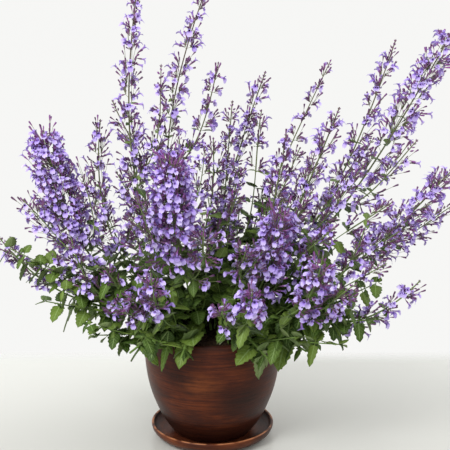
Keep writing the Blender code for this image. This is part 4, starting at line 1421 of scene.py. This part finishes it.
def add_node(bunch, line, place, radius, turn, length, corner_leaves, draw):
    """A pair of leaves across a stem, with small leaves of the next shoot in each corner"""
    point, ahead, side, other = line.at(place)
    for half in (0, math.pi):
        outward = between(side, other, turn + half)
        root = point + outward * radius * PAIR_SEAT
        pattern = draw.choice(LEAVES) if length > LARGE_LEAF else MIDDLE_LEAF
        add_leaf(bunch, pattern, root, outward, ahead, length * draw.uniform(*PAIR_SIZES), draw)
        for _ in range(corner_leaves):
            angle = turn + half + draw.uniform(-CORNER_ASIDE, CORNER_ASIDE)
            small = length * draw.uniform(*CORNER_SIZES)
            start = root + ahead * draw.uniform(0, CORNER_RISE)
            add_leaf(bunch, SMALL_LEAF, start, between(side, other, angle), ahead, small, draw)


def stalk_points(line, start, end, radii, nodes=()):
    """Points along a line for a stalk, with its radii, thicker at each leaf pair"""
    count = max(2, math.ceil((end - start) / STALK_STEP) + 1)
    inner = [node for node in nodes if start < node < end]
    places = np.unique(np.concatenate([np.linspace(start, end, count), inner]))
    points = np.array([line.at(place)[0] for place in places])
    radius = np.interp(places, (start, end), radii)
    for node in nodes:
        radius *= 1 + NODE_SWELLING * (np.abs(places - node) < NODE_HALF)
    return points, radius


def add_stem(bunch, line, last, index, step, lengths, draw):
    """A stem from its hole in the soil up, with a leaf pair at every node"""
    nodes = []
    place = HOLE_DEPTH + FIRST_NODE[index % 2]
    while place < last - LAST_NODE:
        nodes.append(place)
        place += step * draw.uniform(*STEPS_VARY)
    radii = (STEM_RADII[0] * FOOT_THICKER, STEM_RADII[1])
    bunch.stalks([stalk_points(line, 0.0, last, radii, nodes)], draw.random())
    for count, place in enumerate(nodes):
        length = np.interp(place / last, LENGTHS_AT, lengths)
        turn = math.pi / 4 + math.pi / 2 * (count + index)
        radius = np.interp(place, (0, last), radii)
        add_node(bunch, line, place, radius, turn, length, CORNER_LEAVES, draw)


def tone_near(mean, spread, draw):
    """A tone near a mean, from 0 to 1"""
    return min(1.0, max(0.0, draw.gauss(mean, spread)))


def add_cyme(bunch, line, place, cyme, draw):
    """A short stalk that forks into a fan of calyces, some with open corollas"""
    point, ahead, side, other = line.at(place)
    outward = between(side, other, cyme.angle)
    beside = np.cross(ahead, outward)
    out = cyme.reach * draw.uniform(*CYME_STALK)
    fork = point + outward * out + ahead * out * draw.uniform(*CYME_STALK_RISE)
    if out > LEAST_STALK:
        bunch.twig(point, fork, ahead)
    for number in range(cyme.opened + cyme.closed):
        is_open = number < cyme.opened
        lift = math.radians(draw.uniform(*(OPEN_LIFTS if is_open else CLOSED_LIFTS)))
        swing = math.radians(draw.uniform(-CYME_SWING, CYME_SWING))
        direction = between(between(outward, beside, swing), ahead, lift)
        size = FLORET_SIZE * cyme.larger * draw.uniform(*FLORET_SIZES)
        far = cyme.reach * draw.uniform(*(OPEN_REACH if is_open else CLOSED_REACH))
        length = (FLORET_LENGTH if is_open else CALYX_LENGTH) * size
        level_length = length * math.cos(lift) * math.cos(swing)
        away = far - out - level_length
        corner = fork + ahead * cyme.reach * draw.uniform(*CYME_RISE)
        if away < 0:
            size *= max(LEAST_SIZE, (far - out) / level_length)
        start = corner + direction * max(0.0, away) / max(LEAST_LEVEL, math.cos(lift))
        bunch.twig(point if out < LEAST_STALK else fork, start - direction * TWIG_ENTERS, ahead)
        above = unit(ahead + UP * FLORETS_UP)
        axes = rolled(axes_along(direction, above), draw.gauss(0, FLORET_ROLL))
        calyx = draw.choice(CALYCES)
        tone = tone_near(cyme.pink, CALYX_DIFFERS, draw)
        bunch.copy(calyx, start, axes, size, tone)
        if is_open:
            tone = tone_near(PETAL_TONE - PETAL_DARKENS * cyme.pink, PETALS_DIFFER, draw)
            bunch.copy(draw.choice(COROLLAS), start, axes, size, tone)


def whole(number, draw):
    """A number rounded up or down at random, so that the mean stays"""
    return int(number + draw.random())


def add_whorl(bunch, line, place, turn, size, spread, pink, bloom, draw):
    """Two opposite cymes at one place of a spike"""
    open_mean = (OPEN_FLORETS[0] + OPEN_FLORETS[1] * bloom.fullness) * size
    closed_mean = (CLOSED_CALYCES[0] + CLOSED_CALYCES[1] * bloom.fullness) * size
    for half in (0, math.pi):
        shift = draw.uniform(-WHORL_SHIFT, WHORL_SHIFT) * spread * bloom.fullness
        angle = turn + half + draw.uniform(-WHORL_TURN, WHORL_TURN)
        opened = whole(open_mean * draw.uniform(*OPEN_VARIES), draw)
        closed = whole(closed_mean, draw)
        cyme = Cyme(angle, bloom.reach * size, opened, closed, bloom.larger, pink)
        add_cyme(bunch, line, place + shift, cyme, draw)


def add_tip(bunch, line, start, draw):
    """The loose end of a spike: small pairs of closed calyces that get smaller upwards"""
    long = line.length - start
    count = max(2, round(long / TIP_STEP))
    turn = draw.uniform(0, math.tau)
    for number in range(count):
        share = (number + TIP_FIRST) / count
        point, ahead, side, other = line.at(start + long * share)
        for half in range(TIP_BUDS - (number == count - 1)):
            angle = turn + math.pi * half + draw.uniform(-TIP_TURN, TIP_TURN)
            outward = between(side, other, angle)
            out = TIP_OUT[0] - TIP_OUT[1] * share
            direction = unit(outward * out + ahead * draw.uniform(*TIP_RISE))
            axes = axes_along(direction, ahead + outward * 0.01)
            size = FLORET_SIZE * (TIP_SIZE[0] - TIP_SIZE[1] * share) * draw.uniform(*TIP_VARIES)
            foot = point + direction * TIP_STALK * (1 - share)
            bunch.copy(BUD, foot, axes, size, draw.uniform(*TIP_TONES))
        turn += math.pi / 2
    point, ahead, side, _ = line.at(line.length)
    sunk, share, tone = LAST_BUD
    bunch.copy(BUD, point - ahead * sunk, axes_along(ahead, side), FLORET_SIZE * share, tone)


def add_spike(bunch, line, start, radii, first, bloom, draw):
    """A spike's whorls, which close up towards the tip, narrow leaves under the lower ones, and
    the loose end; gives back the points of its stalk"""
    long = line.length - start
    tip_start = line.length - TIP_LENGTH * min(1.0, long / SHORT_SPIKE)
    closer = CLOSER - CLOSER_WHEN_FULL * max(0.0, bloom.fullness - FULL)
    blur = LEAFY_BLUR if bloom.floor else 0.0
    place, turn = start + first, draw.uniform(0, math.pi)
    while place < tip_start:
        share = (place - start) / long
        spread = bloom.gap * closer * (GAP_LOW - GAP_DROP * share)
        size = (1 - TOP_SHRINK * share**3) * draw.uniform(*WHORL_SIZES)
        pink = bloom.fullness * PINK_FULL + share * PINK_HIGH + PINK_LEAST
        if share > bloom.from_share and line.at(place)[0][2] > draw.gauss(bloom.floor, blur):
            add_whorl(bunch, line, place, turn, size, spread, pink, bloom, draw)
        else:
            length = draw.uniform(*LOW_LEAVES)
            add_node(bunch, line, place, radii[0], turn, length, CORNER_LEAVES, draw)
        if share < BRACT_SHARE:
            point, ahead, side, other = line.at(place - BRACT_BELOW)
            for half in (0, math.pi):
                outward = between(side, other, turn + half)
                length = draw.uniform(*BRACT_LENGTHS) * (BRACT_SHRINK - share)
                add_leaf(bunch, SMALL_LEAF, point, outward, ahead, length, draw)
        turn += math.pi / 2
        place += spread
    add_tip(bunch, line, tip_start, draw)
    return stalk_points(line, start, line.length, radii)


def add_side_shoot(stem, spike, line, place, tip, flowers, bloom, draw):
    """A shoot out of a leaf's corner: leaf pairs, and a small spike over the length that
    flowers; gives back the stalks that this adds"""
    start, ahead, _, _ = line.at(place)
    side = side_line(start, ahead, tip)
    bare = max(0.0, side.length - flowers)
    stem.stalks([stalk_points(side, 0.0, bare, SIDE_RADII)], SHOOT_TONE)
    least, ends = SIDE_ENDS
    nodes = int((bare - least) / SIDE_NODE_STEP)
    for k in range(nodes):
        node = SIDE_FIRST_NODE + (bare - ends) * k / nodes
        length = np.interp(k / nodes, (0, 1), SIDE_LEAVES)
        turn = math.pi / 4 + math.pi / 2 * k
        add_node(stem, side, node, SIDE_RADII[0], turn, length, 0 if flowers else 1, draw)
    if flowers:
        return [add_spike(spike, side, bare, SIDE_RADII, SHOOT_FIRST_WHORL, bloom, draw)]
    add_node(stem, side, side.length, SIDE_RADII[1], 0.0, SIDE_LEAVES[1], 1, draw)
    return []


def wild_tip(line, place, length, draw):
    """Where a side shoot ends that isn't listed: outwards and up, inside the bush"""
    point, ahead, side, other = line.at(place)
    outward = between(side, other, draw.uniform(0, math.tau))
    away = unit(np.array((point[0], point[1], AWAY_RISE)))
    heading = outward * WILD_ACROSS + away * WILD_AWAY + ahead * WILD_ALONG + UP * WILD_UP
    return np.clip(point + unit(heading) * length, BUSH_LOW, BUSH_HIGH)


def add_wild_shoot(stem, spike, line, place, bare_sided, bloom, draw):
    """A side shoot at random, if its stem is high enough there; gives back its stalks"""
    if line.at(place)[0][2] <= WILD_LEAST_HEIGHT:
        return []
    length = draw.uniform(*WILD_LENGTHS)
    tip = wild_tip(line, place, length, draw)
    low = tip[2] < LEAFY_BELOW + WILD_LEAFY_ABOVE
    leafy = low or bare_sided or draw.random() < WILD_LEAFY
    flowers = 0 if leafy else length * draw.uniform(*WILD_FLOWERS)
    return add_side_shoot(stem, spike, line, place, tip, flowers, bloom, draw)


def dress_flowering(index, root, draw):
    """What stands for one flowering stem, and what stands for its spike"""
    number = index + 1
    line, last, side_lines = flowering_lines(index, root)
    *_, gap, reach = FLOWERING[index]
    reach *= WIDER.get(number, 1.0)
    floor = 0.0 if number in LOW_SPIKES else LEAFY_BELOW
    from_share, larger = FLOWERS_FROM.get(number, 0.0), LARGER.get(number, 1.0)
    own = Bloom(gap, reach, FULLNESS[index], larger, from_share, floor)
    beside = Bloom(gap, reach * SIDE_SHARE, min(own.fullness, SIDE_FULLNESS), floor=floor)
    close = gap * SHOOT_CLOSER
    placed = Bloom(close, max(reach * PLACED_SHARE, SHOOT_LEAST_REACH), beside.fullness)
    wild_fullness = beside.fullness * WILD_FULLNESS
    wild = Bloom(close, max(reach * WILD_SHARE, SHOOT_LEAST_REACH), wild_fullness)
    stem, spike = Bunch(), Bunch()
    add_stem(stem, line, last, index, NODE_STEP, STEM_LEAVES, draw)
    stalks = [add_spike(spike, line, last, SPIKE_RADII, FIRST_WHORL, own, draw)]
    for side in side_lines:
        stalks.append(add_spike(spike, side, 0.0, SIDE_RADII, SIDE_FIRST_WHORL, beside, draw))
    for stem_number, share, tip, flowers in SIDE_SHOOTS:
        if stem_number == number:
            stalks += add_side_shoot(stem, spike, line, last * share, tip, flowers, placed, draw)
    bare_sided = number in BARE_SIDED
    for share in WILD_SHOOTS[: BARE_SHOOTS if bare_sided else None]:
        place = last * (share + draw.uniform(-WILD_SHIFT, WILD_SHIFT))
        stalks += add_wild_shoot(stem, spike, line, place, bare_sided, wild, draw)
    spike.stalks(stalks, draw.random())
    return stem, spike


# Clay pieces and the soil
def turned(name, outline, closed):
    """A turned piece: a circle drawn up along an outline of (radius, height) points. It closes
    on its first ring, or else at a pole at each end."""
    radius, height = outline[0]
    piece = begin(
        bpy.ops.mesh.primitive_circle_add,
        vertices=TURN_SIDES,
        radius=radius,
        location=(0, 0, height),
    )
    bpy.ops.mesh.select_all(action="SELECT")
    for (near, low), (far, high) in zip(outline, outline[1:]):
        share = far / near
        pull((0, 0, high - low), (share, share, 1), (0, 0, high))

    def on_ring(ring, level):
        return lambda co: abs(math.hypot(co.x, co.y) - ring) < 2e-5 and abs(co.z - level) < 2e-5

    first, last = on_ring(*outline[0]), on_ring(*outline[-1])
    if closed:
        pick(piece, lambda co: first(co) or last(co))
        bpy.ops.mesh.bridge_edge_loops()
    else:
        for test in (first, last):
            pick(piece, test)
            bpy.ops.mesh.extrude_region_move()
            bpy.ops.mesh.merge(type="CENTER")
    bpy.ops.mesh.select_all(action="SELECT")
    bpy.ops.mesh.normals_make_consistent(inside=False)
    return finish_mesh(piece, name)


def bowl_arc(base_radius, belly_radius, base_height, belly_height, steps, power=1.0):
    """A curve that sweeps out and up from the base to the belly, a quarter ellipse at power 1"""
    arc = []
    for step in range(steps + 1):
        turn = math.pi / 2 * step / steps
        radius = base_radius + (belly_radius - base_radius) * math.sin(turn) ** power
        height = belly_height - (belly_height - base_height) * math.cos(turn)
        arc.append((radius, height))
    return arc


def pot_arc(steps, wall=0.0, floor=POT_UNDERSIDE):
    """The pot's bowl, so far in from its outside, above a floor"""
    radii = POT_BASE_RADIUS - wall, POT_BELLY_RADIUS - wall
    return bowl_arc(*radii, floor, POT_BELLY_HEIGHT, steps, POT_BOWL_POWER)


def half_round(middle, height, radius, count):
    """A lip from its outer side over to its inner side"""
    return [
        (middle + radius * math.cos(turn), height + radius * math.sin(turn))
        for turn in np.linspace(0, math.pi, count)
    ]


def pot_outline():
    """The pot from its drainage hole out, up the burnished wall with its low throwing rings,
    over the soft lip and down the inside"""
    outside_rings, lip_rings, inside_rings = POT_RINGS
    outside = pot_arc(outside_rings)
    lip = POT_WALL / 2
    lip_height = POT_HEIGHT - lip
    neck = zip(
        np.interp(NECK_SHARES, (0, 1), (POT_BELLY_RADIUS, POT_RIM_RADIUS)),
        np.interp(NECK_SHARES, (0, 1), (POT_BELLY_HEIGHT, lip_height)),
    )
    wall = [
        (radius + THROWING * math.sin(height * THROWING_WAVES), height)
        for radius, height in [*outside[FIRST_THROWN:], *neck]
    ]
    floor_radii = DRAIN_RADIUS, FLOOR_RING, POT_BASE_RADIUS - FOOT_EDGE
    underside = [(radius, POT_UNDERSIDE) for radius in floor_radii]
    outline = [*underside, *outside[:FIRST_THROWN], *wall]
    outline += half_round(POT_RIM_RADIUS - lip, lip_height, lip, lip_rings)
    outline += reversed(pot_arc(inside_rings, POT_WALL, POT_INSIDE_FLOOR))
    return outline + [(FLOOR_RING, POT_INSIDE_FLOOR), (DRAIN_RADIUS, POT_INSIDE_FLOOR)]


def saucer_outline():
    """The saucer from the middle of its underside out, over its rounded lip and back in"""
    outside_rings, lip_rings, inside_rings = SAUCER_RINGS
    lip = SAUCER_LIP / 2
    lip_height = SAUCER_HEIGHT - lip
    outside = bowl_arc(SAUCER_BASE_RADIUS, SAUCER_RADIUS, 0.0, lip_height, outside_rings)
    edge = half_round(SAUCER_RADIUS - lip, lip_height, lip, lip_rings)[1:-1]
    radii = SAUCER_WELL_RADIUS, SAUCER_RADIUS - SAUCER_LIP
    inside = bowl_arc(*radii, SAUCER_FLOOR, lip_height, inside_rings)
    base = [(radius, 0.0) for radius in SAUCER_BASE_RINGS]
    return [*base, *outside, *edge, *reversed(inside), (FLOOR_RING, SAUCER_FLOOR)]


def scatter_crumbs(draw):
    """Crumbs that lie on the soil, each an uneven copy of one"""
    crumb = begin(bpy.ops.mesh.primitive_ico_sphere_add, subdivisions=1, radius=1)
    bpy.ops.mesh.select_all(action="SELECT")
    bpy.ops.transform.resize(value=CRUMB_SHAPE)
    shape, faces = take_apart(finish_mesh(crumb, "crumb pattern"))
    points, all_faces = [], []
    for _ in range(CRUMBS):
        out = (POT_INSIDE_RIM - CRUMB_EDGE) * math.sqrt(draw.random())
        angle = draw.uniform(0, math.tau)
        x, y = out * math.cos(angle), out * math.sin(angle)
        size = draw.uniform(*CRUMB_SIZES)
        turn = draw.uniform(0, math.tau)
        cos, sin = math.cos(turn), math.sin(turn)
        spin = np.array(((cos, sin, 0), (-sin, cos, 0), (0, 0, 1)))
        uneven = np.array([draw.uniform(*CRUMB_UNEVEN) for _ in range(len(shape))])
        all_faces.extend(shifted(faces, len(points)))
        middle = (x, y, soil_top(x, y) + size * CRUMB_RAISED)
        points.extend(shape * size * uneven[:, None] @ spin + middle)
    mesh = bpy.data.meshes.new("crumbs")
    mesh.from_pydata([tuple(point) for point in points], [], all_faces)
    return add_thing("crumbs", mesh)


def make_soil(draw):
    """The soil: a plug with a lumpy top, and crumbs that lie on it"""
    wall_rings, top_rings = SOIL_RINGS
    wall = pot_arc(wall_rings, POT_WALL + SEAT_GAP, POT_INSIDE_FLOOR + SEAT_GAP)
    top_radii = np.linspace(POT_INSIDE_BELLY - SOIL_EDGE, SOIL_POLE, top_rings)
    top = [(radius, SOIL_HEIGHT) for radius in top_radii]
    outline = [(SOIL_BASE_RING, wall[0][1]), *wall, *top]
    piece = turned("soil_crumbly", outline, closed=False)
    for point in piece.data.vertices:
        place = point.co
        if place.z > SOIL_HEIGHT - TOP_SEARCH:
            grain = noise.fractal(place * SOIL_GRAIN, *SOIL_FRACTAL)
            calm = min(1.0, (POT_INSIDE_BELLY - math.hypot(place.x, place.y)) / SOIL_CALM)
            point.co.z = soil_top(place.x, place.y) + grain * SOIL_ROUGH * calm
    select_only(scatter_crumbs(draw), piece)
    bpy.ops.object.join()
    smooth(piece, 60)
    stand_for(piece, "soil", soil_paint())


def make_clay():
    """The pot and its saucer"""
    pot = turned("pot_burnished", pot_outline(), closed=True)
    smooth(pot, 50)
    paint = clay_paint("pot_burnished_clay", CLAY_TONES, POT_PATCHES)
    stand_for(pot, "pot", paint)
    saucer = turned("saucer_worn", saucer_outline(), closed=False)
    smooth(saucer, 50)
    paint = clay_paint("saucer_worn_clay", SAUCER_TONES, SAUCER_PATCHES, SAUCER_WEAR)
    stand_for(saucer, "saucer", paint)


def grow_plant(draw):
    """The stems with their spikes, and the leafy shoots"""
    greens = plant_paint("catmint_green", Roughness=0.58, Specular_IOR_Level=0.25)
    petals = {"Roughness": 0.62, "Specular_IOR_Level": 0.3, "Sheen_Weight": 0.15}
    flowers = plant_paint("catmint_florets", **petals)
    roots = settle_roots([row[0] for row in FLOWERING] + list(SHOOTS))
    for index, root in enumerate(roots[: len(FLOWERING)]):
        stem, spike = dress_flowering(index, root, draw)
        number = f"{index + 1:02d}"
        stand_for(stem.piece(f"leafy_stem_{number}"), f"stem_{number}", greens)
        stand_for(spike.piece(f"flower_spike_{number}"), f"spike_{number}", flowers)
    for index, root in enumerate(roots[len(FLOWERING) :]):
        line = rooted_line(root, SHOOTS[index], shoot_ends, SHOOT_PULLS)
        shoot = Bunch()
        add_stem(shoot, line, line.length, index, SHOOT_STEP, SHOOT_LEAVES, draw)
        number = index + 1
        stand_for(shoot.piece(f"leafy_shoot_{number}"), f"shoot_{number}", greens)


# The room
def lay_table():
    """The table under the saucer, which isn't part of the object"""
    table = begin(bpy.ops.mesh.primitive_plane_add, size=1, location=(0, 0, TABLE_Z))
    bpy.ops.mesh.select_all(action="SELECT")
    depth = TABLE_FRONT + TABLE_BACK
    bpy.ops.transform.resize(value=(TABLE_WIDTH, depth, 1), center_override=(0, 0, 0))
    bpy.ops.transform.translate(value=(0, (TABLE_BACK - TABLE_FRONT) / 2, 0))
    bpy.ops.mesh.subdivide(number_cuts=3)
    finish_mesh(table, "table")
    table.data.materials.append(table_paint())


def light_room():
    """Even light from all round, and two soft lights"""
    world = bpy.data.worlds.new("pale room")
    world.use_nodes = True
    background = world.node_tree.nodes["Background"]
    background.inputs["Color"].default_value = (*ROOM, 1.0)
    background.inputs["Strength"].default_value = ROOM_LIGHT
    bpy.context.scene.world = world
    bpy.context.scene.view_settings.view_transform = "Standard"
    for place, size, power in SOFT_LIGHTS:
        bpy.ops.object.light_add(type="AREA", location=place)
        light = bpy.context.object
        light.rotation_euler = (Vector(LIT) - Vector(place)).to_track_quat("-Z", "Y").to_euler()
        light.data.size = size
        light.data.energy = power


def set_camera():
    """The camera, at the photograph's viewing angle"""
    bpy.ops.object.camera_add(location=CAMERA, rotation=(math.radians(90 - CAMERA_DOWN), 0, 0))
    camera = bpy.context.object
    camera.data.lens = LENS
    camera.data.sensor_width = SENSOR
    bpy.context.scene.camera = camera


draw = random.Random(SEED)
make_clay()
make_soil(draw)
LEAVES = [model_leaf(*shape) for shape in LEAF_SHAPES]
MIDDLE_LEAF = model_leaf(*MIDDLE_LEAF_SHAPE)
SMALL_LEAF = model_leaf(*SMALL_LEAF_SHAPE)
COROLLAS = [model_corolla(*shape) for shape in COROLLA_SHAPES]
CALYCES = [model_calyx(*shape) for shape in CALYX_SHAPES]
BUD = model_bud(*BUD_SHAPE)
TWIG = model_twig()
grow_plant(draw)
lay_table()
light_room()
set_camera()
